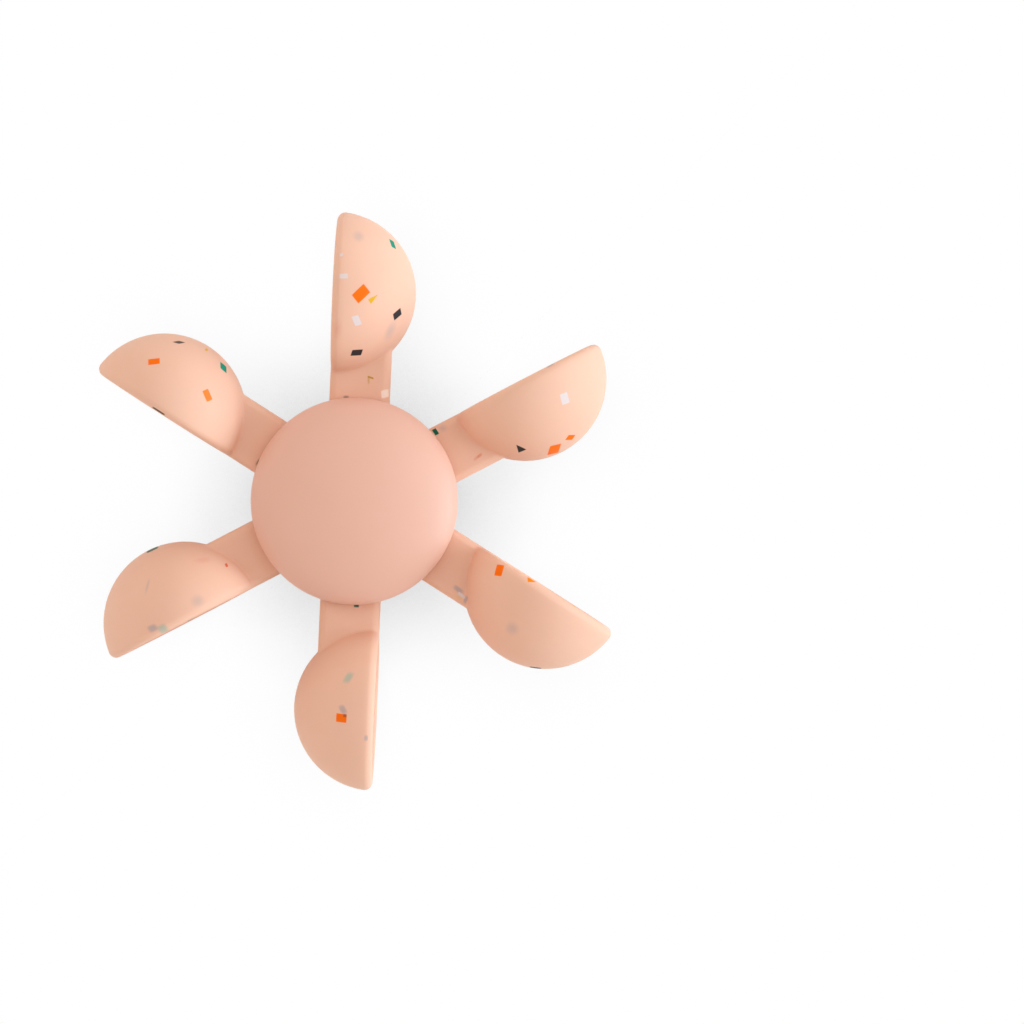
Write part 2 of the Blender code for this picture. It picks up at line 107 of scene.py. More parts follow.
def rounded(corners):
    """A closed outline whose corners (across, up, radius) are rounded. An arc starts and ends at
    radius / tan(half) from its corner, half being half the angle there, and its centre is at
    radius / sin(half) on the bisector. A point just outside each end keeps the flats flat: it stands
    off by FLAT_LEAD of the arc's reach, or a third of what the flat has left."""
    corners = np.asarray(corners, float)
    place, radius = corners[:, :2], corners[:, 2:]
    back, fore = np.roll(place, 1, 0) - place, np.roll(place, -1, 0) - place
    back_length = np.linalg.norm(back, axis=1, keepdims=True)
    fore_length = np.linalg.norm(fore, axis=1, keepdims=True)
    back, fore = back / back_length, fore / fore_length
    half = np.arccos(np.clip((back * fore).sum(1, keepdims=True), -1, 1)) / 2
    reach = radius / np.tan(half)
    bisector = back + fore
    bisector /= np.maximum(np.linalg.norm(bisector, axis=1, keepdims=True), 1e-9)
    centre = place + bisector * radius / np.sin(half)
    start, end = place + back * reach - centre, place + fore * reach - centre
    turn = np.arctan2(start[:, 0] * end[:, 1] - start[:, 1] * end[:, 0], (start * end).sum(1))
    swing = turn[:, None] * np.linspace(0, 1, ROUND_STEPS + 1)
    arc_x = centre[:, :1] + start[:, :1] * np.cos(swing) - start[:, 1:] * np.sin(swing)
    arc_y = centre[:, 1:] + start[:, :1] * np.sin(swing) + start[:, 1:] * np.cos(swing)
    arcs = np.stack((arc_x, arc_y), -1)
    before = np.minimum(FLAT_LEAD * reach, (back_length - reach - np.roll(reach, 1, 0)) / 3)
    after = np.minimum(FLAT_LEAD * reach, (fore_length - reach - np.roll(reach, -1, 0)) / 3)
    lead_in = (place + back * (reach + before))[:, None]
    lead_out = (place + fore * (reach + after))[:, None]
    points = np.concatenate((lead_in, arcs, lead_out), 1).reshape(-1, 2)
    apart = np.linalg.norm(points - np.roll(points, 1, 0), axis=1) > WELD / 2
    return points[apart]


def round_axis(radius, angle, height):
    """Points at a radius, an angle and a height: radius cos angle, radius sin angle and height."""
    return np.broadcast_arrays(radius * np.cos(angle), radius * np.sin(angle), height)


def lathe(profile, turns):
    """A profile of (radius, height) points carried round the axle."""
    angle = np.linspace(0, math.tau, turns, endpoint=False)
    return np.stack(round_axis(profile[:, :1], angle, profile[:, 1:]), -1)


def grid_faces(rows, columns, ring):
    """Quads between neighbouring points of a grid whose columns close, and whose rows do in a ring."""
    index = np.arange(rows * columns).reshape(rows, columns)
    if ring:
        index = np.vstack((index, index[:1]))
    near, far = index[:-1], index[1:]
    return np.stack((near, np.roll(near, -1, 1), np.roll(far, -1, 1), far), -1).reshape(-1, 4)


def welded(mesh):
    """Closes a mesh's poles, seams and slivers and turns its faces outwards. Edges sharper than
    CREASE degrees stay sharp."""
    bm = bmesh.new()
    bm.from_mesh(mesh)
    bmesh.ops.remove_doubles(bm, verts=bm.verts, dist=WELD)
    bmesh.ops.dissolve_degenerate(bm, edges=bm.edges, dist=WELD)
    bmesh.ops.recalc_face_normals(bm, faces=bm.faces)
    bm.to_mesh(mesh)
    bm.free()
    mesh.shade_smooth()
    mesh.set_sharp_from_angle(angle=math.radians(CREASE))


def piece(name, grid, material, ring=True):
    """One piece from a grid of points. Its columns close round it, and its rows too if it is a ring;
    if not, its first and last rows are poles."""
    mesh = bpy.data.meshes.new(name)
    mesh.from_pydata(grid.reshape(-1, 3).tolist(), [], grid_faces(*grid.shape[:2], ring).tolist())
    welded(mesh)
    mesh.materials.append(material)
    made = bpy.data.objects.new(name, mesh)
    bpy.context.scene.collection.objects.link(made)
    return made


def group_sockets(group, direction, sockets):
    """Adds named sockets to a shader group's inputs or outputs."""
    for name, kind in sockets:
        group.interface.new_socket(name, in_out=direction, socket_type=f"NodeSocket{kind}")


def moulded_skin_group():
    """What a mould leaves on a surface, in Object coordinates: Mottle, a broad cloudy noise for the
    colour, and Grain, a fine noise for the bump and the gloss."""
    group = bpy.data.node_groups.new("moulded_skin", "ShaderNodeTree")
    group_sockets(group, "INPUT", (("Mottle scale", "Float"), ("Grain scale", "Float")))
    group_sockets(group, "OUTPUT", (("Mottle", "Float"), ("Grain", "Float")))
    nodes, link = group.nodes, group.links.new
    inputs, outputs = nodes.new("NodeGroupInput"), nodes.new("NodeGroupOutput")
    where = nodes.new("ShaderNodeTexCoord")
    for name, detail in (("Mottle", 2.0), ("Grain", 1.0)):
        noise = nodes.new("ShaderNodeTexNoise")
        noise.inputs["Detail"].default_value = detail
        link(where.outputs["Object"], noise.inputs["Vector"])
        link(inputs.outputs[f"{name} scale"], noise.inputs["Scale"])
        link(noise.outputs["Fac"], outputs.inputs[name])
    return group


moulded_skin = moulded_skin_group()


def shader_of(material):
    """A material's main shader."""
    return material.node_tree.nodes["Principled BSDF"]


def moulded_finish(name, light, deep, gloss, mottle_scale, grain_scale, grain_depth):
    """A moulded surface: its colour drifts between two close tones, and a fine grain breaks its gloss,
    which is a pair of roughnesses."""
    material = bpy.data.materials.new(name)
    material.use_nodes = True
    nodes, link = material.node_tree.nodes, material.node_tree.links.new
    shader = shader_of(material)
    skin = nodes.new("ShaderNodeGroup")
    skin.node_tree = moulded_skin
    skin.inputs["Mottle scale"].default_value = mottle_scale
    skin.inputs["Grain scale"].default_value = grain_scale
    tone = nodes.new("ShaderNodeMix")
    tone.data_type = "RGBA"
    tone.inputs["A"].default_value = linear(deep)
    tone.inputs["B"].default_value = linear(light)
    link(skin.outputs["Mottle"], tone.inputs["Factor"])
    rough = nodes.new("ShaderNodeMapRange")
    rough.inputs["To Min"].default_value, rough.inputs["To Max"].default_value = gloss
    link(skin.outputs["Grain"], rough.inputs["Value"])
    link(rough.outputs["Result"], shader.inputs["Roughness"])
    bump = nodes.new("ShaderNodeBump")
    bump.inputs["Distance"].default_value = grain_depth
    link(skin.outputs["Grain"], bump.inputs["Height"])
    link(bump.outputs["Normal"], shader.inputs["Normal"])
    link(tone.outputs["Result"], shader.inputs["Base Color"])
    return material


def let_light_in(material, weight, depth):
    """Lets some light into soft silicone: red travels the whole depth, green and blue less far."""
    shader = shader_of(material)
    shader.inputs["Subsurface Weight"].default_value = weight
    shader.inputs["Subsurface Radius"].default_value = RED_GREEN_BLUE_DEPTH
    shader.inputs["Subsurface Scale"].default_value = depth


cup_silicone = moulded_finish(
    "cup_silicone",
    CUP_BLUSH,
    CUP_BLUSH_DEEP,
    gloss=(0.34, 0.44),
    mottle_scale=90,
    grain_scale=2500,
    grain_depth=0.006 * MM,
)
let_light_in(cup_silicone, weight=0.25, depth=3.0 * MM)

hollow = np.linspace(0, 1, CUP_RINGS)
climb = hollow[2:]
cup_profile = rounded(
    np.vstack(
        (
            curve((CUP_RADIUS - CUP_RIM) * hollow, (CUP_HEIGHT - CUP_WEB) * (1 - hollow**2)),
            (CUP_RADIUS, 0, CUP_SOFT_EDGE),
            (CUP_RADIUS, CUP_LIP, CUP_SOFT_EDGE),
            curve(
                CUP_RADIUS + (HOUSING_RADIUS - CUP_RADIUS) * climb,
                CUP_LIP + (CUP_HEIGHT - CUP_LIP) * np.sin(math.pi / 2 * climb) ** CUP_SWELL,
            ),
            (STEM_RADIUS, CUP_HEIGHT, CUP_SOFT_EDGE),
            (STEM_RADIUS, STEM_HEAD_BOTTOM, CUP_SOFT_EDGE),
            (STEM_HEAD_RADIUS, STEM_HEAD_BOTTOM, CUP_SOFT_EDGE),
            (STEM_HEAD_RADIUS, STEM_TOP, STEM_HEAD_ROUND),
            (0, STEM_TOP, 0),
        )
    )
)
suction_cup = piece("cup_moulding", lathe(cup_profile, WIDE_TURNS), cup_silicone, ring=False)
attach(suction_cup, "base")
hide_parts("suction_cup")

# Base housing: a round collar in the hub's matte blush plastic.
# The cup's button snaps into it from behind, under the spindle's foot.
SPINDLE_RADIUS = 4.0 * MM
SPINDLE_FOOT = 1.6 * MM
HOUSING_ROOF = 2.0 * MM
HOUSING_BOTTOM = CUP_HEIGHT + GAP
HOUSING_FLOOR_TOP = HOUSING_BOTTOM + HOUSING_FLOOR
HOUSING_CEILING = STEM_TOP + SPINDLE_FOOT + 2 * GAP
HOUSING_TOP = HOUSING_CEILING + HOUSING_ROOF
HOUSING_ROUND = 2.0 * MM
CHAMBER_RADIUS = STEM_HEAD_RADIUS + GAP
HOUSING_NECK = STEM_RADIUS + GAP
HOUSING_BORE = SPINDLE_RADIUS + GAP
MOULDED_EDGE = 0.25 * MM
HUB_BLUSH = (236, 181, 159)
HUB_BLUSH_DEEP = (231, 175, 152)

hub_plastic = moulded_finish(
    "blush_plastic",
    HUB_BLUSH,
    HUB_BLUSH_DEEP,
    gloss=(0.46, 0.58),
    mottle_scale=60,
    grain_scale=3000,
    grain_depth=0.010 * MM,
)
housing_profile = rounded(
    (
        (HOUSING_NECK, HOUSING_BOTTOM, MOULDED_EDGE),
        (HOUSING_RADIUS, HOUSING_BOTTOM, HOUSING_ROUND),
        (HOUSING_RADIUS, HOUSING_TOP, HOUSING_ROUND),
        (HOUSING_BORE, HOUSING_TOP, MOULDED_EDGE),
        (HOUSING_BORE, HOUSING_CEILING, MOULDED_EDGE),
        (CHAMBER_RADIUS, HOUSING_CEILING, MOULDED_EDGE),
        (CHAMBER_RADIUS, HOUSING_FLOOR_TOP, MOULDED_EDGE),
        (HOUSING_NECK, HOUSING_FLOOR_TOP, MOULDED_EDGE),
    )
)
housing = piece("housing_collar", lathe(housing_profile, WIDE_TURNS), hub_plastic)
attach(housing, "base")
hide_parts("base_housing")

# Spindle and thrust washer: turned from off-white acetal, the slippery plastic of plain bearings.
# The spindle's foot is trapped in the housing, and the washer keeps the hub off the housing.
SPINDLE_FOOT_RADIUS = CHAMBER_RADIUS - GAP
SPINDLE_FOOT_BOTTOM = STEM_TOP + GAP
SPINDLE_FOOT_TOP = SPINDLE_FOOT_BOTTOM + SPINDLE_FOOT
SPINDLE_TOP = 35.3 * MM
SPINDLE_HOLE = 1.8 * MM
SPINDLE_HOLE_BOTTOM = 26.3 * MM
WASHER = 1.0 * MM
THRUST_WASHER_RADIUS = 8.0 * MM
THRUST_WASHER_BOTTOM = HOUSING_TOP + GAP
TURNED_EDGE = 0.2 * MM
SMALL_TURNS = 96
ACETAL = (240, 238, 232)
ACETAL_DEEP = (233, 230, 222)

acetal = moulded_finish(
    "acetal",
    ACETAL,
    ACETAL_DEEP,
    gloss=(0.28, 0.4),
    mottle_scale=120,
    grain_scale=1800,
    grain_depth=0.004 * MM,
)
spindle_profile = rounded(
    (
        (0, SPINDLE_FOOT_BOTTOM, 0),
        (SPINDLE_FOOT_RADIUS, SPINDLE_FOOT_BOTTOM, TURNED_EDGE),
        (SPINDLE_FOOT_RADIUS, SPINDLE_FOOT_TOP, TURNED_EDGE),
        (SPINDLE_RADIUS, SPINDLE_FOOT_TOP, TURNED_EDGE),
        (SPINDLE_RADIUS, SPINDLE_TOP, TURNED_EDGE),
        (SPINDLE_HOLE, SPINDLE_TOP, TURNED_EDGE),
        (SPINDLE_HOLE, SPINDLE_HOLE_BOTTOM, 0),
        (0, SPINDLE_HOLE_BOTTOM, 0),
    )
)


def washer(hole, outside, bottom):
    """A flat ring that lies on a height: a rectangle with eased corners, carried round the axle."""
    top = bottom + WASHER
    corners = ((hole, bottom), (outside, bottom), (outside, top), (hole, top))
    return lathe(rounded([(*corner, TURNED_EDGE) for corner in corners]), SMALL_TURNS)


spindle = piece("spindle_pin", lathe(spindle_profile, SMALL_TURNS), acetal, ring=False)
thrust_washer = piece(
    "thrust_ring", washer(SPINDLE_RADIUS + GAP, THRUST_WASHER_RADIUS, THRUST_WASHER_BOTTOM), acetal
)
for turned, node in ((spindle, "spindle"), (thrust_washer, "thrust_washer")):
    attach(turned, "base")
    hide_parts(node)

# Hub base: the moulded rear half of the hub, a cup with six slots that the arm roots lie in.
# A six-sided core stops the roots, a peg goes through each, and three bosses take the clamp screws.
ARM_COUNT = 6
ARM_PITCH = math.tau / ARM_COUNT
FIRST_ARM = math.radians(27.4)
ARM_WIDTH = 15.6 * MM
ARM_DEPTH = 10.4 * MM
HUB_FLOOR = 3.0 * MM
HUB_WALL = 2.4 * MM
HUB_BOTTOM = THRUST_WASHER_BOTTOM + WASHER + GAP
HUB_FLOOR_TOP = HUB_BOTTOM + HUB_FLOOR
ARM_FRONT = HUB_FLOOR_TOP + GAP + ARM_DEPTH
HUB_RADIUS = 24.7 * MM
HUB_INSIDE = HUB_RADIUS - HUB_WALL
HUB_ROUND = 2.0 * MM
HUB_BORE = 6.6 * MM
CORE_FLAT = ARM_WIDTH / 2 / math.tan(ARM_PITCH / 2)
ARM_ROOT = CORE_FLAT + GAP
PEG_RADIUS = 2.4 * MM
PEG_ROUND = 0.5 * MM
PEG_CIRCLE = (ARM_ROOT + HUB_INSIDE) / 2
PEG_TOP = ARM_FRONT - 2 * GAP
BOSS_HOLE = 1.4 * MM
BOSS_WALL = 0.9 * MM
BOSS_RADIUS = BOSS_HOLE + BOSS_WALL
BOSS_CIRCLE = (BOSS_RADIUS + ARM_WIDTH / 2 + GAP) / math.sin(ARM_PITCH / 2)
FUSED_DEPTH = 1.0 * MM
FUSED_FROM = HUB_FLOOR_TOP - FUSED_DEPTH
PEG_TURNS = 48
SLOT_STEPS = 6
RIB_STEPS = 8
EASE_SEGMENTS = 3
EASE_ANGLE = 50
arm_angles = FIRST_ARM + ARM_PITCH * np.arange(ARM_COUNT)
screw_angles = arm_angles[::2] + ARM_PITCH / 2


def slotted_shell():
    """The hub's cup as a lathe whose wall stands at full height between the slots and stops at the
    floor in them. A slot's sides are parallel, so at the radius r they stand asin(half / r) from the
    arm's direction."""
    edge = np.linspace(0, math.pi / 2, ROUND_STEPS + 1)
    rear_edge = HUB_ROUND * np.column_stack((np.sin(edge) - 1, 1 - np.cos(edge)))
    profile = np.vstack(
        (
            (HUB_BORE, HUB_BOTTOM),
            (HUB_RADIUS, HUB_BOTTOM) + rear_edge,
            (HUB_RADIUS, ARM_FRONT),
            (HUB_INSIDE, ARM_FRONT),
            (HUB_INSIDE, HUB_FLOOR_TOP),
            (HUB_BORE, HUB_FLOOR_TOP),
        )
    )
    radius, height = profile[:, :1], profile[:, 1:]
    slot_edge = np.arcsin((ARM_WIDTH / 2 + GAP) / np.maximum(radius, HUB_INSIDE))
    across_slot, across_rib = np.linspace(-1, 1, SLOT_STEPS + 1), np.linspace(0, 1, RIB_STEPS + 1)
    sector = np.hstack((slot_edge * across_slot, slot_edge + (ARM_PITCH - 2 * slot_edge) * across_rib))
    angle = np.hstack([sector + turn for turn in arm_angles])
    in_slot = np.tile(np.repeat((True, False), (len(across_slot), len(across_rib))), ARM_COUNT)
    z = np.where(in_slot, np.minimum(height, HUB_FLOOR_TOP), height)
    return np.stack(round_axis(radius, angle, z), -1)


def six_sided_core():
    """The hub's core: a ring whose outside is a hexagon, at flat / cos(angle from a flat's middle)."""
    angle = FIRST_ARM + np.linspace(0, math.tau, SMALL_TURNS, endpoint=False)
    from_flat = (angle - FIRST_ARM + ARM_PITCH / 2) % ARM_PITCH - ARM_PITCH / 2
    outside = CORE_FLAT / np.cos(from_flat)
    bore = np.full_like(angle, HUB_BORE)
    radius = np.stack((bore, outside, outside, bore))
    height = np.array((FUSED_FROM, FUSED_FROM, ARM_FRONT, ARM_FRONT))[:, None]
    return np.stack(round_axis(radius, angle, height), -1)


def combined(made, operation, tools):
    """A piece with closed pieces cut out of it or fused to it: a Boolean is worked out for each, and
    the result is kept in the mesh."""
    for tool in tools:
        boolean = made.modifiers.new("combine", "BOOLEAN")
        boolean.object = tool
        boolean.operation = operation
    view = bpy.context.evaluated_depsgraph_get()
    mesh = bpy.data.meshes.new_from_object(made.evaluated_get(view))
    made.modifiers.clear()
    made.data = mesh
    for tool in tools:
        bpy.data.objects.remove(tool)
    welded(mesh)
    return made


def stood_at(grid, radius, angle):
    """A turned shape stood out from the axle at a radius and an angle."""
    return grid + np.array((radius * math.cos(angle), radius * math.sin(angle), 0))


peg_profile = rounded(
    ((0, FUSED_FROM, 0), (PEG_RADIUS, FUSED_FROM, 0), (PEG_RADIUS, PEG_TOP, PEG_ROUND), (0, PEG_TOP, 0))
)
boss_profile = rounded(
    (
        (BOSS_HOLE, FUSED_FROM, 0),
        (BOSS_RADIUS, FUSED_FROM, 0),
        (BOSS_RADIUS, ARM_FRONT - GAP, MOULDED_EDGE),
        (BOSS_HOLE, ARM_FRONT - GAP, MOULDED_EDGE),
    )
)
hub_base = piece("hub_shell", slotted_shell(), hub_plastic)
ease = hub_base.modifiers.new("moulded_edges", "BEVEL")
ease.width = MOULDED_EDGE
ease.segments = EASE_SEGMENTS
ease.limit_method = "ANGLE"
ease.angle_limit = math.radians(EASE_ANGLE)
pegs = [stood_at(lathe(peg_profile, PEG_TURNS), PEG_CIRCLE, angle) for angle in arm_angles]
bosses = [stood_at(lathe(boss_profile, PEG_TURNS), BOSS_CIRCLE, angle) for angle in screw_angles]
combined(
    hub_base,
    "UNION",
    [piece("core", six_sided_core(), hub_plastic)]
    + [piece("peg", peg, hub_plastic, ring=False) for peg in pegs]
    + [piece("boss", boss, hub_plastic) for boss in bosses],
)
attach(hub_base, "wheel")
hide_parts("hub_base")

# Hub bush: a flanged acetal sleeve pressed into the hub from the front.
# It is the plain bearing that runs on the spindle.
BUSH_BORE = SPINDLE_RADIUS + GAP
BUSH_RADIUS = HUB_BORE - GAP
BUSH_FLANGE = 1.8 * MM
BUSH_FLANGE_RADIUS = BUSH_RADIUS + BUSH_FLANGE
BUSH_FLANGE_BOTTOM = ARM_FRONT + GAP
BUSH_TOP = SPINDLE_TOP - GAP

bush_profile = rounded(
    (
        (BUSH_BORE, HUB_BOTTOM, TURNED_EDGE),
        (BUSH_RADIUS, HUB_BOTTOM, TURNED_EDGE),
        (BUSH_RADIUS, BUSH_FLANGE_BOTTOM, TURNED_EDGE),
        (BUSH_FLANGE_RADIUS, BUSH_FLANGE_BOTTOM, TURNED_EDGE),
        (BUSH_FLANGE_RADIUS, BUSH_TOP, TURNED_EDGE),
        (BUSH_BORE, BUSH_TOP, TURNED_EDGE),
    )
)
bush = piece("bush_sleeve", lathe(bush_profile, SMALL_TURNS), acetal)
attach(bush, "wheel")
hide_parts("hub_bush")

# Spindle screw and retaining washer: plain stainless steel, standing still while the wheel turns.
# The screw is driven into the spindle's end, and the washer under its head keeps the hub on.
RETAINING_WASHER_RADIUS = 6.3 * MM
RETAINING_WASHER_BOTTOM = SPINDLE_TOP + GAP
SPINDLE_SCREW = {
    "radius": SPINDLE_HOLE - GAP,
    "length": 10.0 * MM,
    "head_radius": 3.2 * MM,
    "head": 2.0 * MM,
    "seat": RETAINING_WASHER_BOTTOM + WASHER + GAP,
}
STEEL = (200, 200, 202)
STEEL_DEEP = (182, 182, 186)
THREAD_PITCH = 0.72
THREAD_DEPTH = 0.26
THREAD_RUN_OUT = 0.4
POINT_LENGTH = 1.5
CROSS_REACH = 0.56
CROSS_HALF_WIDTH = 0.15
CROSS_TAPER = 0.7
CROSS_FLOOR = 0.35
SHANK_RINGS = 120

steel = moulded_finish(
    "stainless_steel",
    STEEL,
    STEEL_DEEP,
    gloss=(0.24, 0.36),
    mottle_scale=300,
    grain_scale=3500,
    grain_depth=0.002 * MM,
)
shader_of(steel).inputs["Metallic"].default_value = 1.0


def screw(radius, length, head_radius, head, seat):
    """A pan-head screw on its tip, with its head's underside at seat. The shank's radius rises and
    falls as a triangle wave of height / pitch - angle / whole turn, which is a helical thread. Pitch
    and thread are shares of the shank's radius. The recess in the head is a cross, in shares of the
    head: at the angle a from its nearest arm it reaches the lesser of reach / cos a and
    half width / sin a."""
    angle = np.linspace(0, math.tau, SMALL_TURNS, endpoint=False)
    climb = np.linspace(0, 1, SHANK_RINGS)[:, None]
    turn = climb * length / (THREAD_PITCH * radius) - angle / math.tau
    crest = 1 - np.abs(2 * (turn % 1) - 1)
    point = np.clip(climb * length / (POINT_LENGTH * radius), 0, 1)
    run_out = np.clip((1 - climb) * length / radius - THREAD_RUN_OUT, 0, 1)
    shank = radius * point * (1 - THREAD_DEPTH * (1 - crest * run_out))

    crown = np.linspace(0, math.pi / 2, ROUND_STEPS + 1)[:, None]
    edge = head / 2
    crown_radius = head_radius - edge * (1 - np.cos(crown)) + 0 * angle
    from_arm = np.abs((angle + math.pi / 4) % (math.pi / 2) - math.pi / 4)
    half_width = CROSS_HALF_WIDTH * head_radius / np.maximum(np.sin(from_arm), 1e-6)
    cross = np.minimum(CROSS_REACH * head_radius / np.cos(from_arm), half_width)
    floor = seat + CROSS_FLOOR * head

    radii = (shank, head_radius + 0 * angle, crown_radius, cross, CROSS_TAPER * cross, 0 * angle)
    heights = (
        seat - length * (1 - climb),
        seat,
        seat + edge + edge * np.sin(crown),
        seat + head,
        floor,
        floor,
    )
    radius_grid = np.vstack(radii)
    height_grid = np.vstack([level + 0 * np.atleast_2d(ring) for level, ring in zip(heights, radii)])
    return np.stack(round_axis(radius_grid, angle, height_grid), -1)


spindle_screw = piece("axle_screw", screw(**SPINDLE_SCREW), steel, ring=False)
retaining_washer = piece(
    "retaining_ring", washer(SPINDLE_HOLE, RETAINING_WASHER_RADIUS, RETAINING_WASHER_BOTTOM), steel
)
for fastener, node in ((spindle_screw, "spindle_screw"), (retaining_washer, "retaining_washer")):
    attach(fastener, "base")
    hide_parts(node)

# Scoop arms: six spoons moulded in one piece each, a half-round bowl on a flat arm.
# The blush silicone is soft and matte, and chips of coloured silicone are mixed into it, so some
# lie at the surface with sharp edges and others show faintly from below.
ARM_MIDDLE = ARM_FRONT - ARM_DEPTH / 2
SCOOP_CENTRE = 53.8 * MM
SCOOP_RADIUS = 21.2 * MM
SCOOP_WALL = 3.8 * MM
EDGE_ROUND = 2.0 * MM
MOUTH_ROUND = 1.4 * MM
BLEND = 1.2 * MM
SUPPORT = 0.12 * MM
ROOT_STEPS, SIDE_STEPS, BLEND_STEPS, BOWL_STEPS = 6, 14, 10, 60
DISH_RINGS, SIDE_RINGS, FILLET_RINGS, BACK_RINGS = 30, 11, 8, 24
ARM_SHEEN = 0.12
ARM_BLUSH = (241, 192, 166)
ARM_BLUSH_DEEP = (237, 186, 159)
ORANGE = (255, 112, 0)
APRICOT = (255, 132, 52)
AMBER = (255, 136, 0)
RUST = (222, 98, 58)
GREEN = (0, 140, 112)
PINE = (10, 96, 74)
SAGE = (128, 180, 166)
CHARCOAL = (52, 46, 46)
GREY = (148, 146, 160)
WHITE = (228, 210, 206)
PALE = (252, 226, 212)
MUSTARD = (226, 170, 26)
OCHRE = (196, 140, 0)
PINK = (226, 134, 118)
CHIP_SPACING = 5.4 * MM
CHIP_SHARE = 0.6
CHIP_FAINT_SHARE = 0.5
CHIP_TURNS = 40.0
CHIP_HALF_SIZE = (1.35 * MM, 1.0 * MM, 0.8 * MM)
CHIP_HALF_THICKNESS = 2.0 * MM
LEAST_RISE = 0.15
SCATTERED_TINTS = (
    ORANGE, CHARCOAL, WHITE, GREEN, GREY, MUSTARD,
    APRICOT, SAGE, CHARCOAL, ORANGE, WHITE, PINK,
)

# How a chip lies in the surface: how soft its edge is, how much of its tint shows, and 1 where half
# of it is cut off.
SHARP = (0.06, 1.0, 0)
SOFT = (0.2, 0.9, 0)
SUNK = (0.55, 0.5, 0)
DEEP = (0.9, 0.26, 0)
SPLIT = (0.08, 1.0, 1)


def spoon_outline(bowl, strip):
    """One side of the spoon's outline at each depth, from the middle of its root to the bowl's tip, as
    (along, up) from the bowl's centre: up the root, along the arm's side, round the concave blend and
    round the bowl. bowl is the bowl's radius at each depth and strip half the arm's depth there."""
    bowl, strip = np.atleast_2d(bowl).T, np.atleast_2d(strip).T
    root = ARM_ROOT - SCOOP_CENTRE
    corner = np.sqrt((bowl + BLEND) ** 2 - (strip + BLEND) ** 2)
    meet = np.arctan2(strip + BLEND, -corner)
    rise = strip * np.linspace(0, 1, ROOT_STEPS)
    side = root + (-corner - root) * np.linspace(0, 1, SIDE_STEPS + 1)[1:]
    swing = -math.pi / 2 + (meet - math.pi / 2) * np.linspace(0, 1, BLEND_STEPS + 1)[1:]
    sweep = meet * np.linspace(1, 0, BOWL_STEPS + 1)[1:]
    along = (root + 0 * rise, side, -corner + BLEND * np.cos(swing), bowl * np.cos(sweep))
    up = (rise, strip + 0 * side, strip + BLEND + BLEND * np.sin(swing), bowl * np.sin(sweep))
    return np.hstack(along), np.hstack(up)


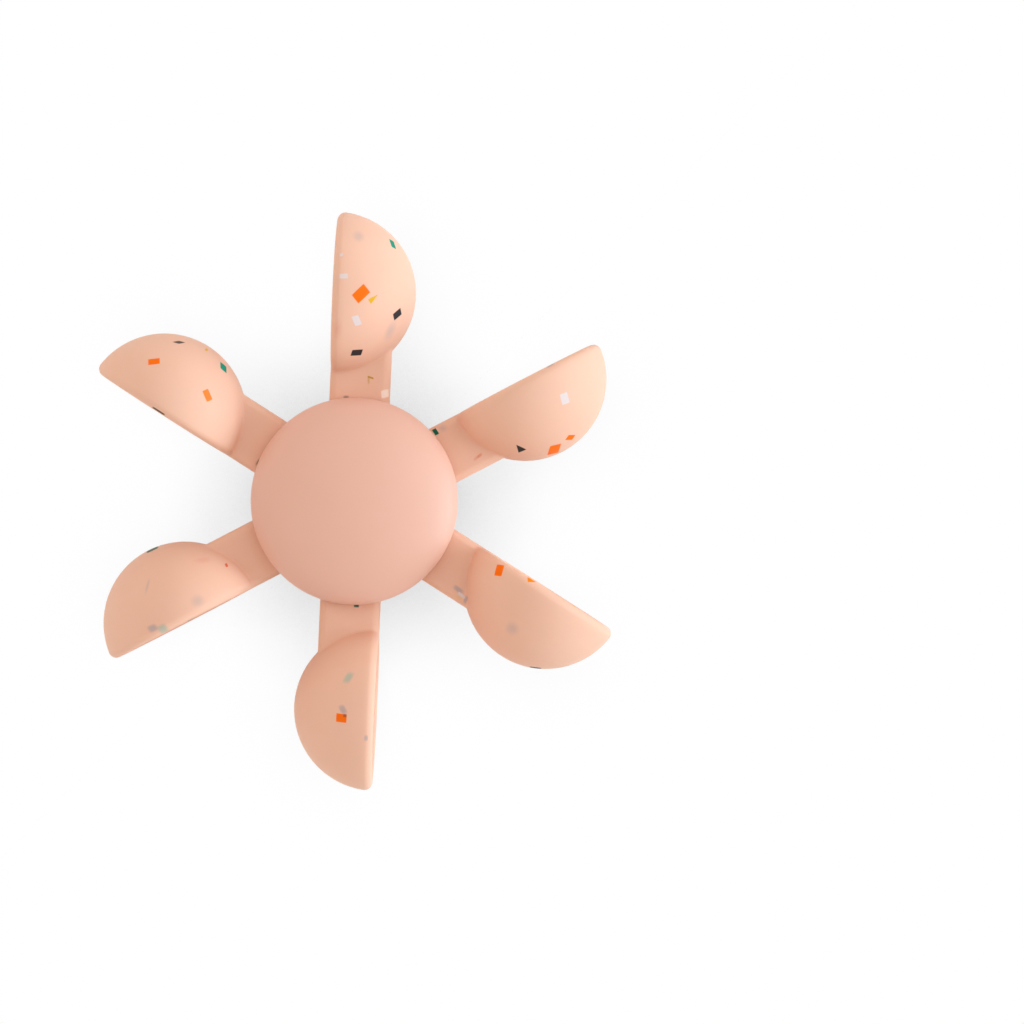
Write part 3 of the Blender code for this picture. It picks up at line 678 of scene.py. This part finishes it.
def spoon():
    """A scoop arm pointing along +X, as rings at growing depth behind the bowl's open face. They run
    from the middle of the bowl's inside over the rim, down the arm's sides and over its back to the
    middle of the bowl's outside. Inside and back are spheres, the edges quarter rounds, and a fillet
    carries the arm's back up to the bowl."""
    inside = SCOOP_RADIUS - SCOOP_WALL
    inner_rim = math.sqrt((inside + MOUTH_ROUND) ** 2 - MOUTH_ROUND**2)
    outer_rim = math.sqrt((SCOOP_RADIUS - EDGE_ROUND) ** 2 - EDGE_ROUND**2)
    flat_strip = ARM_DEPTH / 2 - EDGE_ROUND
    quarter = np.linspace(0, math.pi / 2, ROUND_STEPS + 1)

    sides = EDGE_ROUND + (ARM_WIDTH - 2 * EDGE_ROUND) * np.linspace(0, 1, SIDE_RINGS)[1:]
    trail = ARM_WIDTH - EDGE_ROUND * (1 - np.sin(quarter[1:]))
    depth = np.concatenate(([0], EDGE_ROUND * (1 - np.cos(quarter)), sides, trail))
    grow = EDGE_ROUND * np.sin(quarter)
    bowl = np.concatenate(
        (
            [outer_rim - SUPPORT],
            outer_rim + grow,
            np.sqrt(SCOOP_RADIUS**2 - sides**2),
            np.sqrt(SCOOP_RADIUS**2 - trail**2),
        )
    )
    strip = np.concatenate(
        (
            [flat_strip - SUPPORT],
            flat_strip + grow,
            np.full_like(sides, ARM_DEPTH / 2),
            flat_strip + EDGE_ROUND * np.cos(quarter[1:]),
        )
    )
    body_along, body_up = spoon_outline(bowl, strip)
    body = (body_along, body_up, depth[:, None] + 0 * body_up)
    at_mouth = np.arctan2(body_up[0], body_along[0])

    lip = math.atan2(inner_rim, MOUTH_ROUND)
    dish = np.linspace(0, lip, DISH_RINGS)
    mouth = math.pi * 1.5 - np.linspace(lip, 0, ROUND_STEPS + 1)[1:]
    lip_radius = inner_rim + MOUTH_ROUND * np.cos(mouth)
    lip_depth = MOUTH_ROUND * (1 + np.sin(mouth))
    inner_radius = np.concatenate((inside * np.sin(dish), lip_radius, [inner_rim + SUPPORT]))[:, None]
    inner_depth = np.concatenate((inside * np.cos(dish), lip_depth, [0]))[:, None]
    inner = round_axis(inner_radius, at_mouth, inner_depth)

    ledge_along, ledge_up = spoon_outline(
        math.sqrt(SCOOP_RADIUS**2 - (ARM_WIDTH + SUPPORT) ** 2), flat_strip - SUPPORT
    )
    at_back = np.arctan2(ledge_up[0], ledge_along[0])
    fade = np.linspace(1, 0, BLEND_STEPS + 1)[1:]
    eased = fade**2 * (3 - 2 * fade)
    to_arm = np.concatenate((np.ones(ROOT_STEPS + SIDE_STEPS), eased, np.zeros(BOWL_STEPS)))
    ledge = (ledge_along, ledge_up, ARM_WIDTH + SUPPORT * (1 - to_arm[None]))

    foot = math.sqrt((SCOOP_RADIUS + BLEND) ** 2 - (ARM_WIDTH + BLEND) ** 2)
    lean = math.atan2(foot, ARM_WIDTH + BLEND)
    share = np.linspace(0, 1, FILLET_RINGS)[:, None]
    fillet_radius = foot - BLEND * np.sin(lean * share)
    fillet_depth = ARM_WIDTH + BLEND * (1 - np.cos(lean * share))
    touch = fillet_depth[-1, 0]
    slice_depth = ARM_WIDTH + 2 * SUPPORT + (touch - ARM_WIDTH - 2 * SUPPORT) * share
    rising_depth = slice_depth + (fillet_depth - slice_depth) * to_arm
    rising_radius = np.sqrt(SCOOP_RADIUS**2 - slice_depth**2)
    rising_radius = rising_radius + (fillet_radius - rising_radius) * to_arm
    rising = round_axis(rising_radius, at_back, rising_depth)

    tilt = np.linspace(math.acos(touch / SCOOP_RADIUS), 0, BACK_RINGS)[1:, None]
    back = round_axis(SCOOP_RADIUS * np.sin(tilt), at_back, SCOOP_RADIUS * np.cos(tilt))

    along, up, behind = (np.vstack(part) for part in zip(inner, body, ledge, rising, back))
    mirror = slice(-2, 0, -1)
    along = np.hstack((along, along[:, mirror]))
    up = np.hstack((up, -up[:, mirror]))
    behind = np.hstack((behind, behind[:, mirror]))
    return SCOOP_CENTRE + along, ARM_WIDTH / 2 - behind, up


def turned_arm(angle):
    """The spoon turned to an arm's direction and lifted to the middle of the hub."""
    along, across, up = spoon()
    x = along * math.cos(angle) - across * math.sin(angle)
    y = along * math.sin(angle) + across * math.cos(angle)
    return np.stack((x, y, ARM_MIDDLE + up), -1)


def math_step(nodes, link, operation, *values, kind="ShaderNodeMath", out="Value"):
    """The result of one arithmetic node, whose inputs are numbers or other nodes' sockets."""
    node = nodes.new(kind)
    node.operation = operation
    for socket, value in zip(node.inputs, values):
        if isinstance(value, bpy.types.NodeSocket):
            link(value, socket)
        else:
            socket.default_value = value
    return node.outputs[out]


def fleck_group():
    """One chip of coloured silicone, a slanted box. Its own coordinates are the dot products of three
    axes with the way from its place, and run from -1 to 1 across it. It covers what lies where the
    largest of |x|, |y|, |z| is under 1. Softness widens the edge and rounds it, from the larger of
    |x| and |y| towards their root sum of squares. Cut takes off the half beyond x + y = 0, which
    leaves a triangle."""
    group = bpy.data.node_groups.new("fleck", "ShaderNodeTree")
    vectors = [(name, "Vector") for name in ("Place", "Length", "Width", "Thickness")]
    numbers = [(name, "Float") for name in ("Softness", "Strength", "Cut")]
    group_sockets(group, "INPUT", [("Under", "Color"), ("Tint", "Color")] + vectors + numbers)
    group_sockets(group, "OUTPUT", [("Colour", "Color")])
    nodes, link = group.nodes, group.links.new
    inputs, outputs = nodes.new("NodeGroupInput"), nodes.new("NodeGroupOutput")
    step = partial(math_step, nodes, link)

    where = nodes.new("ShaderNodeTexCoord").outputs["Object"]
    way = step("SUBTRACT", where, inputs.outputs["Place"], kind="ShaderNodeVectorMath", out="Vector")
    x, y, z = (
        step("DOT_PRODUCT", way, inputs.outputs[name], kind="ShaderNodeVectorMath")
        for name in ("Length", "Width", "Thickness")
    )
    beyond = step("MULTIPLY", step("ADD", step("ADD", x, y), 1.0), inputs.outputs["Cut"])
    square = step("MAXIMUM", step("ABSOLUTE", x), step("ABSOLUTE", y))
    disc = step("SQRT", step("ADD", step("MULTIPLY", x, x), step("MULTIPLY", y, y)))
    reach = step("MULTIPLY_ADD", step("SUBTRACT", disc, square), inputs.outputs["Softness"], square)
    reach = step("MAXIMUM", step("MAXIMUM", reach, step("ABSOLUTE", z)), beyond)
    cover = nodes.new("ShaderNodeMapRange")
    cover.interpolation_type = "SMOOTHSTEP"
    cover.inputs["To Min"].default_value = 1.0
    cover.inputs["To Max"].default_value = 0.0
    link(reach, cover.inputs["Value"])
    link(step("SUBTRACT", 1.0, inputs.outputs["Softness"]), cover.inputs["From Min"])
    link(step("ADD", 1.0, inputs.outputs["Softness"]), cover.inputs["From Max"])
    mix = nodes.new("ShaderNodeMix")
    mix.data_type = "RGBA"
    link(step("MULTIPLY", cover.outputs["Result"], inputs.outputs["Strength"]), mix.inputs["Factor"])
    link(inputs.outputs["Under"], mix.inputs["A"])
    link(inputs.outputs["Tint"], mix.inputs["B"])
    link(mix.outputs["Result"], outputs.inputs["Colour"])
    return group


def scattered_group():
    """Chips of mixed colours all through the silicone. Space falls into cells round scattered seeds,
    and CHIP_SHARE of the cells hold a chip: a box round the seed, turned and tinted by the cell's own
    random colour. Seeds count below the middle of the arm, or close enough to the Bowl's centre to
    lie inside its wall: what shows from the front is placed chip by chip instead."""
    group = bpy.data.node_groups.new("scattered_flecks", "ShaderNodeTree")
    group_sockets(group, "INPUT", [("Under", "Color"), ("Bowl", "Vector")])
    group_sockets(group, "OUTPUT", [("Colour", "Color")])
    nodes, link = group.nodes, group.links.new
    inputs, outputs = nodes.new("NodeGroupInput"), nodes.new("NodeGroupOutput")
    step = partial(math_step, nodes, link)
    vector_step = partial(step, kind="ShaderNodeVectorMath", out="Vector")

    where = nodes.new("ShaderNodeTexCoord").outputs["Object"]
    cells = nodes.new("ShaderNodeTexVoronoi")
    cells.inputs["Scale"].default_value = 1 / CHIP_SPACING
    link(where, cells.inputs["Vector"])
    seed, chance = cells.outputs["Position"], nodes.new("ShaderNodeSeparateColor")
    link(cells.outputs["Color"], chance.inputs["Color"])

    turn = nodes.new("ShaderNodeVectorRotate")
    turn.rotation_type = "EULER_XYZ"
    link(vector_step("SUBTRACT", where, seed), turn.inputs["Vector"])
    link(vector_step("MULTIPLY", cells.outputs["Color"], 3 * (CHIP_TURNS,)), turn.inputs["Rotation"])
    in_chip = vector_step("DIVIDE", turn.outputs["Vector"], CHIP_HALF_SIZE)
    reach = nodes.new("ShaderNodeSeparateXYZ")
    link(vector_step("ABSOLUTE", in_chip), reach.inputs["Vector"])
    flat_reach = step("MAXIMUM", reach.outputs["X"], reach.outputs["Y"])
    inside_chip = step("LESS_THAN", step("MAXIMUM", flat_reach, reach.outputs["Z"]), 1.0)

    height = nodes.new("ShaderNodeSeparateXYZ")
    link(seed, height.inputs["Vector"])
    low = step("LESS_THAN", height.outputs["Z"], ARM_MIDDLE - CHIP_SPACING / 2)
    from_bowl = step("DISTANCE", seed, inputs.outputs["Bowl"], kind="ShaderNodeVectorMath")
    within = step("LESS_THAN", from_bowl, SCOOP_RADIUS - CHIP_SPACING / 2)
    filled = step("LESS_THAN", chance.outputs["Green"], CHIP_SHARE)
    held = step("MULTIPLY", step("MAXIMUM", low, within), filled)
    strength = step("MINIMUM", step("MULTIPLY", chance.outputs["Blue"], 1 / CHIP_FAINT_SHARE), 1.0)

    tint = nodes.new("ShaderNodeValToRGB")
    tint.color_ramp.interpolation = "CONSTANT"
    for place, colour in enumerate(SCATTERED_TINTS):
        stops = tint.color_ramp.elements
        stop = stops[place] if place < len(stops) else stops.new(1.0)
        stop.position = place / len(SCATTERED_TINTS)
        stop.color = linear(colour)
    link(chance.outputs["Red"], tint.inputs["Fac"])
    mix = nodes.new("ShaderNodeMix")
    mix.data_type = "RGBA"
    link(step("MULTIPLY", step("MULTIPLY", inside_chip, held), strength), mix.inputs["Factor"])
    link(inputs.outputs["Under"], mix.inputs["A"])
    link(tint.outputs["Color"], mix.inputs["B"])
    link(mix.outputs["Result"], outputs.inputs["Colour"])
    return group


def front_of_arm(along, across):
    """The point and outward direction of an arm's front at a place along and across it: the bowl's
    sphere, or the arm's flat front where that stands higher. The sphere is never taken lower than
    LEAST_RISE of its radius, because a chip can't lie in a wall that is upright."""
    from_centre = np.array((along - SCOOP_CENTRE, across - ARM_WIDTH / 2))
    least = LEAST_RISE * SCOOP_RADIUS
    height = math.sqrt(max(SCOOP_RADIUS**2 - from_centre @ from_centre, least**2))
    if along < SCOOP_CENTRE - SCOOP_RADIUS / 2 and height < ARM_DEPTH / 2:
        return np.array((along, across, ARM_FRONT)), np.array((0.0, 0.0, 1.0))
    normal = np.array((*from_centre, height))
    return np.array((along, across, ARM_MIDDLE + height)), normal / np.linalg.norm(normal)


fleck = fleck_group()
scattered_flecks = scattered_group()

# Each fleck on an arm's front: tint, its middle, its two edges as seen from the front, all in
# millimetres along and across the arm, and how it lies in the surface.
ARM_FLECKS = (
    (
        (WHITE, (60.4, -1.6), (-0.6, -2.7), (-2.0, 0.2), SHARP),
        (ORANGE, (57.2, -11.1), (-1.4, -0.7), (-1.6, 0.8), SHARP),
        (ORANGE, (52.1, -11.9), (-1.7, -1.7), (-2.9, 0.7), SHARP),
        (CHARCOAL, (43.7, -7.4), (-1.8, 2.3), (-2.2, 0.2), SPLIT),
        (GREY, (61.0, 7.6), (-2.0, 0.0), (0.0, -0.5), SUNK),
        (RUST, (34.2, -4.4), (-1.4, -0.2), (0.0, -0.7), SUNK),
        (PINK, (33.2, -4.6), (-1.6, -0.3), (0.0, -0.7), SUNK),
        (PINE, (26.9, 6.3), (0.2, -1.7), (-1.1, 0.0), SHARP),
        (GREY, (29.0, 6.3), (-1.8, 0.0), (0.2, -1.6), DEEP),
    ),
    (
        (GREEN, (66.9, -6.9), (-2.1, -0.8), (-0.6, -1.2), SHARP),
        (ORANGE, (53.3, 0.4), (-2.1, -1.8), (-3.1, 2.9), SHARP),
        (MUSTARD, (52.1, -3.1), (1.5, -2.5), (-1.1, -0.8), SPLIT),
        (WHITE, (57.6, 5.0), (0.2, -2.2), (-1.3, -0.1), SOFT),
        (WHITE, (46.4, 1.2), (0.6, -1.7), (-2.3, -1.1), SHARP),
        (CHARCOAL, (48.7, -9.0), (-1.8, 1.8), (-1.6, -0.4), SHARP),
        (CHARCOAL, (38.3, 1.0), (0.3, -2.7), (-1.5, 0.5), SHARP),
        (GREY, (68.2, 1.8), (-0.9, -2.1), (-1.9, 0.7), DEEP),
        (WHITE, (63.1, 5.9), (0.2, -0.8), (-0.8, 0.0), SOFT),
        (GREY, (44.4, -7.4), (-3.5, 1.5), (-0.5, -1.5), DEEP),
        (PINK, (44.0, 6.0), (-3.4, 0.0), (0.4, -1.8), DEEP),
        (OCHRE, (32.2, -2.7), (-0.4, -1.5), (0.5, 0.0), SOFT),
        (OCHRE, (31.5, -2.2), (-1.8, -0.1), (0.0, -0.5), SUNK),
        (PALE, (28.2, -6.6), (0.6, -1.9), (-2.0, -0.3), SOFT),
        (CHARCOAL, (26.7, 3.4), (0.0, -1.3), (1.0, 0.0), SUNK),
    ),
    (
        (CHARCOAL, (60.3, -10.2), (-1.7, -0.5), (-1.2, -1.2), SOFT),
        (ORANGE, (62.6, -2.6), (-2.3, -1.9), (-0.9, 1.2), SHARP),
        (MUSTARD, (53.4, -12.4), (0.7, 0.0), (0.0, 0.6), SOFT),
        (GREEN, (47.2, -10.9), (-1.1, 1.4), (-2.0, 0.3), SHARP),
        (APRICOT, (46.3, -2.7), (-0.8, -1.3), (-2.5, 1.7), SHARP),
        (CHARCOAL, (54.5, 7.4), (-3.6, 0.0), (0.0, -0.4), SOFT),
        (CHARCOAL, (26.5, 5.0), (0.1, -1.7), (0.7, 0.0), SUNK),
    ),
    (
        (PINE, (52.4, -13.0), (-3.2, 0.1), (0.2, -0.6), SOFT),
        (RUST, (36.9, -0.5), (0.0, -1.0), (0.6, 0.0), SOFT),
        (PINK, (41.5, -4.4), (-2.8, 1.2), (-0.6, -1.0), DEEP),
        (GREY, (47.2, 4.4), (0.2, -2.4), (-2.6, 0.0), DEEP),
        (GREY, (60.7, 5.3), (0.2, -1.7), (-2.2, 0.2), SUNK),
        (SAGE, (58.4, 6.7), (0.2, -2.2), (-2.2, 0.2), SUNK),
        (GREY, (57.1, -5.0), (-2.0, -2.3), (-0.4, 0.4), DEEP),
    ),
    (
        (ORANGE, (55.8, -0.5), (-0.2, -2.7), (-2.2, 0.0), SHARP),
        (CHARCOAL, (55.1, 0.4), (0.0, -0.9), (-0.8, 0.0), SUNK),
        (GREY, (53.6, -0.2), (-1.9, -1.1), (-0.5, 1.4), SUNK),
        (SAGE, (45.4, 0.8), (-2.4, 1.2), (0.2, 1.7), SUNK),
        (GREY, (60.6, 6.1), (0.0, -0.9), (-1.3, 0.0), SUNK),
        (PINE, (27.1, 1.7), (0.0, -1.3), (-0.7, 0.0), SOFT),
    ),
    (
        (ORANGE, (41.2, 5.2), (0.9, -2.8), (-1.7, -0.8), SHARP),
        (AMBER, (49.8, 7.9), (2.4, 1.5), (-0.8, 1.0), SPLIT),
        (GREY, (38.0, -6.0), (0.4, -1.8), (-0.9, 0.0), SUNK),
        (GREY, (35.0, -4.8), (-2.6, 0.2), (0.0, -1.2), SUNK),
        (MUSTARD, (36.2, -6.6), (-2.0, 0.0), (0.0, -0.7), DEEP),
        (WHITE, (36.5, -5.6), (-2.2, 0.2), (0.2, -0.8), SOFT),
        (GREY, (52.1, -5.6), (0.0, -2.4), (-2.6, 0.0), DEEP),
        (CHARCOAL, (62.8, -11.2), (-2.7, -1.3), (-0.2, 0.4), SOFT),
    ),
)


def chip_axes(edges, normal):
    """The axes of a chip that lies in a surface: the inverse of the matrix whose columns are its half
    edges, each given the slope that keeps it in the surface, and its half thickness, which is upright
    so that its outline from the front stays true where the surface curves away."""
    slope = -(edges @ normal[:2]) / normal[2]
    halves = np.column_stack((edges, slope)) / 2
    return np.linalg.inv(np.column_stack((*halves, (0, 0, CHIP_HALF_THICKNESS))))


def confetti_finish(number, angle, flecks):
    """Matte blush silicone with an arm's own flecks laid over it one by one."""
    material = moulded_finish(
        f"confetti_silicone_{number}",
        ARM_BLUSH,
        ARM_BLUSH_DEEP,
        gloss=(0.5, 0.62),
        mottle_scale=70,
        grain_scale=2600,
        grain_depth=0.008 * MM,
    )
    let_light_in(material, weight=0.15, depth=2.5 * MM)
    shader = shader_of(material)
    shader.inputs["Specular IOR Level"].default_value = ARM_SHEEN
    nodes, link = material.node_tree.nodes, material.node_tree.links.new
    turned = np.array(Matrix.Rotation(angle, 3, "Z"))
    scattered = nodes.new("ShaderNodeGroup")
    scattered.node_tree = scattered_flecks
    scattered.inputs["Bowl"].default_value = turned @ (SCOOP_CENTRE, ARM_WIDTH / 2, ARM_MIDDLE)
    link(shader.inputs["Base Color"].links[0].from_socket, scattered.inputs["Under"])
    colour = scattered.outputs["Colour"]
    for tint, place, length, width, (softness, strength, cut) in flecks:
        point, normal = front_of_arm(*(np.array(place) * MM))
        axes = chip_axes(np.array((length, width)) * MM, normal) @ turned.T
        chip = nodes.new("ShaderNodeGroup")
        chip.node_tree = fleck
        chip.inputs["Tint"].default_value = linear(tint)
        chip.inputs["Place"].default_value = turned @ point
        for name, axis in zip(("Length", "Width", "Thickness"), axes):
            chip.inputs[name].default_value = axis
        chip.inputs["Softness"].default_value = softness
        chip.inputs["Strength"].default_value = strength
        chip.inputs["Cut"].default_value = cut
        link(colour, chip.inputs["Under"])
        colour = chip.outputs["Colour"]
    link(colour, shader.inputs["Base Color"])
    return material


peg_hole_profile = rounded(
    (
        (0, HUB_FLOOR_TOP - GAP, 0),
        (PEG_RADIUS + GAP, HUB_FLOOR_TOP - GAP, 0),
        (PEG_RADIUS + GAP, ARM_FRONT + GAP, 0),
        (0, ARM_FRONT + GAP, 0),
    )
)
for number, (angle, flecks) in enumerate(zip(arm_angles, ARM_FLECKS), 1):
    confetti = confetti_finish(number, angle, flecks)
    peg_hole = stood_at(lathe(peg_hole_profile, PEG_TURNS), PEG_CIRCLE, angle)
    arm = combined(
        piece(f"spoon_{number}", turned_arm(angle), confetti, ring=False),
        "DIFFERENCE",
        [piece("peg_hole", peg_hole, confetti, ring=False)],
    )
    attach(arm, "wheel")
    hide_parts(f"scoop_arm_{number}")

# Clamp plate: a moulded blush plastic ring that closes the arm roots into the hub.
# Three sunk screws hold it, and the groove round its edge takes the cap's snap bead.
CLAMP_THICKNESS = 3.0 * MM
CLAMP_WEB = 1.0 * MM
CLAMP_EASE = 0.5 * MM
CLAMP_BOTTOM = ARM_FRONT + GAP
CLAMP_RECESS = CLAMP_BOTTOM + CLAMP_WEB
CLAMP_TOP = CLAMP_BOTTOM + CLAMP_THICKNESS
CLAMP_HOLE = BUSH_FLANGE_RADIUS + GAP
SCREW_RECESS = 2.5 * MM
RECESS_TURNS = 64
SNAP_DEPTH = 0.5 * MM
SNAP_HEIGHT = 1.2 * MM
SNAP_MIDDLE = (CLAMP_BOTTOM + CLAMP_TOP) / 2
GROOVE_DEPTH = SNAP_DEPTH + GAP
GROOVE_HALF = SNAP_HEIGHT / 2 + GAP

plate_profile = rounded(
    (
        (CLAMP_HOLE, CLAMP_BOTTOM, MOULDED_EDGE),
        (HUB_RADIUS, CLAMP_BOTTOM, MOULDED_EDGE),
        (HUB_RADIUS, SNAP_MIDDLE - GROOVE_HALF, 0),
        (HUB_RADIUS - GROOVE_DEPTH, SNAP_MIDDLE, MOULDED_EDGE),
        (HUB_RADIUS, SNAP_MIDDLE + GROOVE_HALF, 0),
        (HUB_RADIUS, CLAMP_TOP - CLAMP_EASE, 0),
        (HUB_RADIUS - CLAMP_EASE, CLAMP_TOP, MOULDED_EDGE),
        (CLAMP_HOLE, CLAMP_TOP, MOULDED_EDGE),
    )
)
recess_profile = rounded(
    (
        (0, CLAMP_BOTTOM - GAP, 0),
        (BOSS_HOLE, CLAMP_BOTTOM - GAP, 0),
        (BOSS_HOLE, CLAMP_RECESS, 0),
        (SCREW_RECESS, CLAMP_RECESS, 0),
        (SCREW_RECESS, CLAMP_TOP + GAP, 0),
        (0, CLAMP_TOP + GAP, 0),
    )
)
recesses = [stood_at(lathe(recess_profile, RECESS_TURNS), BOSS_CIRCLE, angle) for angle in screw_angles]
clamp_plate = combined(
    piece("clamp_ring", lathe(plate_profile, WIDE_TURNS), hub_plastic),
    "DIFFERENCE",
    [piece("recess", recess, hub_plastic, ring=False) for recess in recesses],
)
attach(clamp_plate, "wheel")
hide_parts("clamp_plate")

# Clamp screws: three small stainless pan-head screws that cut their own thread in the hub's bosses.
# Their heads lie in the clamp plate's recesses, under the cap.
CLAMP_SCREW = {
    "radius": BOSS_HOLE - GAP,
    "length": 9.0 * MM,
    "head_radius": SCREW_RECESS - GAP,
    "head": 1.7 * MM,
    "seat": CLAMP_RECESS + GAP,
}

for number, angle in enumerate(screw_angles, 1):
    clamp_screw = piece(
        f"pan_head_{number}", stood_at(screw(**CLAMP_SCREW), BOSS_CIRCLE, angle), steel, ring=False
    )
    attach(clamp_screw, "wheel")
    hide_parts(f"clamp_screw_{number}")

# Hub cap: a domed cap moulded in matte blush plastic, bare on top.
# Its skirt snaps over the clamp plate's edge with a small bead.
CAP_WALL = 1.8 * MM
CAP_DOME = 10.2 * MM
CAP_EDGE = 0.5 * MM
CAP_INSIDE = HUB_RADIUS + GAP
CAP_RADIUS = CAP_INSIDE + CAP_WALL
CAP_BOTTOM = CLAMP_BOTTOM
CAP_SPRING = CLAMP_TOP - CLAMP_EASE + GAP
SNAP_ROUND = 0.3 * MM
CAP_RINGS = 40
CAP_TURNS = 256


def dome(radius, rise):
    """Half an ellipse from the skirt to the top: at the angle a, radius cos a across and rise sin a
    above the skirt."""
    angle = np.linspace(0, math.pi / 2, CAP_RINGS)
    across = radius * np.cos(angle)
    across[-1] = 0
    return curve(across, CAP_SPRING + rise * np.sin(angle))


cap_profile = rounded(
    np.vstack(
        (
            dome(CAP_INSIDE, CAP_DOME - CAP_WALL)[::-1],
            (CAP_INSIDE, SNAP_MIDDLE + SNAP_HEIGHT / 2, 0),
            (CAP_INSIDE - SNAP_DEPTH, SNAP_MIDDLE, SNAP_ROUND),
            (CAP_INSIDE, SNAP_MIDDLE - SNAP_HEIGHT / 2, 0),
            (CAP_INSIDE, CAP_BOTTOM, MOULDED_EDGE),
            (CAP_RADIUS, CAP_BOTTOM, CAP_EDGE),
            dome(CAP_RADIUS, CAP_DOME),
        )
    )
)
cap = piece("domed_cap", lathe(cap_profile, CAP_TURNS), hub_plastic, ring=False)
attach(cap, "wheel")
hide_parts("hub_cap")

# Studio: a white table that shows a painted soft shadow round the toy, and a surround that is bright
# low down and dim overhead. Of three broad soft lights the key comes in low from the right, and the
# table gives off a little light of its own, which brightens the undersides.
SURROUND_LOW = 1.42
SURROUND_HIGH = 0.53
SURROUND_FADE = 0.6
SURROUND_COLOUR = (1.04, 1.0, 0.95, 1.0)
TABLE_HALF = 4.0
TABLE_TOP = -0.02 * MM
TABLE_BOUNCE = (0.8, 0.8, 0.8, 1.0)
TABLE_UNDERLIGHT = 0.05
SHADE_REACH = 35 * MM
SHADE_DEPTH = 1.35
SHADE_FALL = 3.0

# Each soft light is a far, broad lamp: strength, colour, spread, and where its rays come from, the
# azimuth from +X and the elevation, in degrees.
SOFT_LIGHTS = (
    ("key", 2.15, (0.74, 1.0, 1.2), 36, -4, 11),
    ("top", 0.52, (0.93, 1.0, 1.1), 50, 28, 50),
    ("fill", 0.34, (1.0, 1.0, 1.0), 60, 165, 50),
)


def seen_rays(nodes, link):
    """1 for rays that show the picture: straight from the camera, or by gloss or glass."""
    path, step = nodes.new("ShaderNodeLightPath"), partial(math_step, nodes, link)
    seen, gloss, glass = (path.outputs[f"Is {ray} Ray"] for ray in ("Camera", "Glossy", "Transmission"))
    return step("MAXIMUM", step("MAXIMUM", seen, gloss), glass)


def lit_table(nodes, link):
    """How the table lights the toy: a matt white that also gives off some light of its own."""
    matt, glow = nodes.new("ShaderNodeBsdfDiffuse"), nodes.new("ShaderNodeEmission")
    matt.inputs["Color"].default_value = TABLE_BOUNCE
    glow.inputs["Strength"].default_value = TABLE_UNDERLIGHT
    both = nodes.new("ShaderNodeAddShader")
    link(matt.outputs["BSDF"], both.inputs[0])
    link(glow.outputs["Emission"], both.inputs[1])
    return both.outputs["Shader"]


def table_with_painted_shadow(nodes, link):
    """How the table shows: white light of its own, less a painted soft shadow of the toy, which no lamp
    casts: a depth times a power of the share of the sky that the toy covers close by."""
    open_sky, shown = nodes.new("ShaderNodeAmbientOcclusion"), nodes.new("ShaderNodeEmission")
    open_sky.inputs["Distance"].default_value = SHADE_REACH
    step = partial(math_step, nodes, link)
    # painted shadow: the table's own white light is dimmed where the toy covers the sky close by
    covered = step("SUBTRACT", 1.0, open_sky.outputs["AO"])
    shade = step("MULTIPLY", step("POWER", covered, SHADE_FALL), SHADE_DEPTH)
    link(step("SUBTRACT", 1.0, shade), shown.inputs["Strength"])
    return shown.outputs["Emission"]


table_white = bpy.data.materials.new("table_white")
table_white.use_nodes = True
nodes, link = table_white.node_tree.nodes, table_white.node_tree.links.new
nodes.remove(nodes["Principled BSDF"])
choice = nodes.new("ShaderNodeMixShader")
link(seen_rays(nodes, link), choice.inputs["Fac"])
link(lit_table(nodes, link), choice.inputs[1])
link(table_with_painted_shadow(nodes, link), choice.inputs[2])
link(choice.outputs["Shader"], nodes["Material Output"].inputs["Surface"])

table_mesh = bpy.data.meshes.new("table")
corners = TABLE_HALF * np.array(((-1, -1, 0), (1, -1, 0), (1, 1, 0), (-1, 1, 0))) + (0, 0, TABLE_TOP)
table_mesh.from_pydata(corners.tolist(), [], [(0, 1, 2, 3)])
table_mesh.materials.append(table_white)
table = bpy.data.objects.new("table", table_mesh)
bpy.context.scene.collection.objects.link(table)

for name, strength, colour, spread, azimuth, elevation in SOFT_LIGHTS:
    lamp_data = bpy.data.lights.new(name, "SUN")
    lamp_data.energy = strength
    lamp_data.color = colour
    lamp_data.angle = math.radians(spread)
    lamp = bpy.data.objects.new(name, lamp_data)
    lamp.rotation_euler = (0, math.radians(90 - elevation), math.radians(azimuth))
    bpy.context.scene.collection.objects.link(lamp)

surround = bpy.data.worlds.new("surround")
surround.use_nodes = True
nodes, link = surround.node_tree.nodes, surround.node_tree.links.new
where, parts = nodes.new("ShaderNodeTexCoord"), nodes.new("ShaderNodeSeparateXYZ")
link(where.outputs["Generated"], parts.inputs["Vector"])
fade = nodes.new("ShaderNodeMapRange")
fade.interpolation_type = "SMOOTHSTEP"
fade.inputs["From Max"].default_value = SURROUND_FADE
fade.inputs["To Min"].default_value = SURROUND_LOW
fade.inputs["To Max"].default_value = SURROUND_HIGH
link(parts.outputs["Z"], fade.inputs["Value"])
ambient = nodes["Background"]
ambient.inputs["Color"].default_value = SURROUND_COLOUR
link(fade.outputs["Result"], ambient.inputs["Strength"])
backdrop, choice = nodes.new("ShaderNodeBackground"), nodes.new("ShaderNodeMixShader")
backdrop.inputs["Color"].default_value = (1.0, 1.0, 1.0, 1.0)
link(seen_rays(nodes, link), choice.inputs["Fac"])
link(ambient.outputs["Background"], choice.inputs[1])
link(backdrop.outputs["Background"], choice.inputs[2])
link(choice.outputs["Shader"], nodes["World Output"].inputs["Surface"])
bpy.context.scene.world = surround
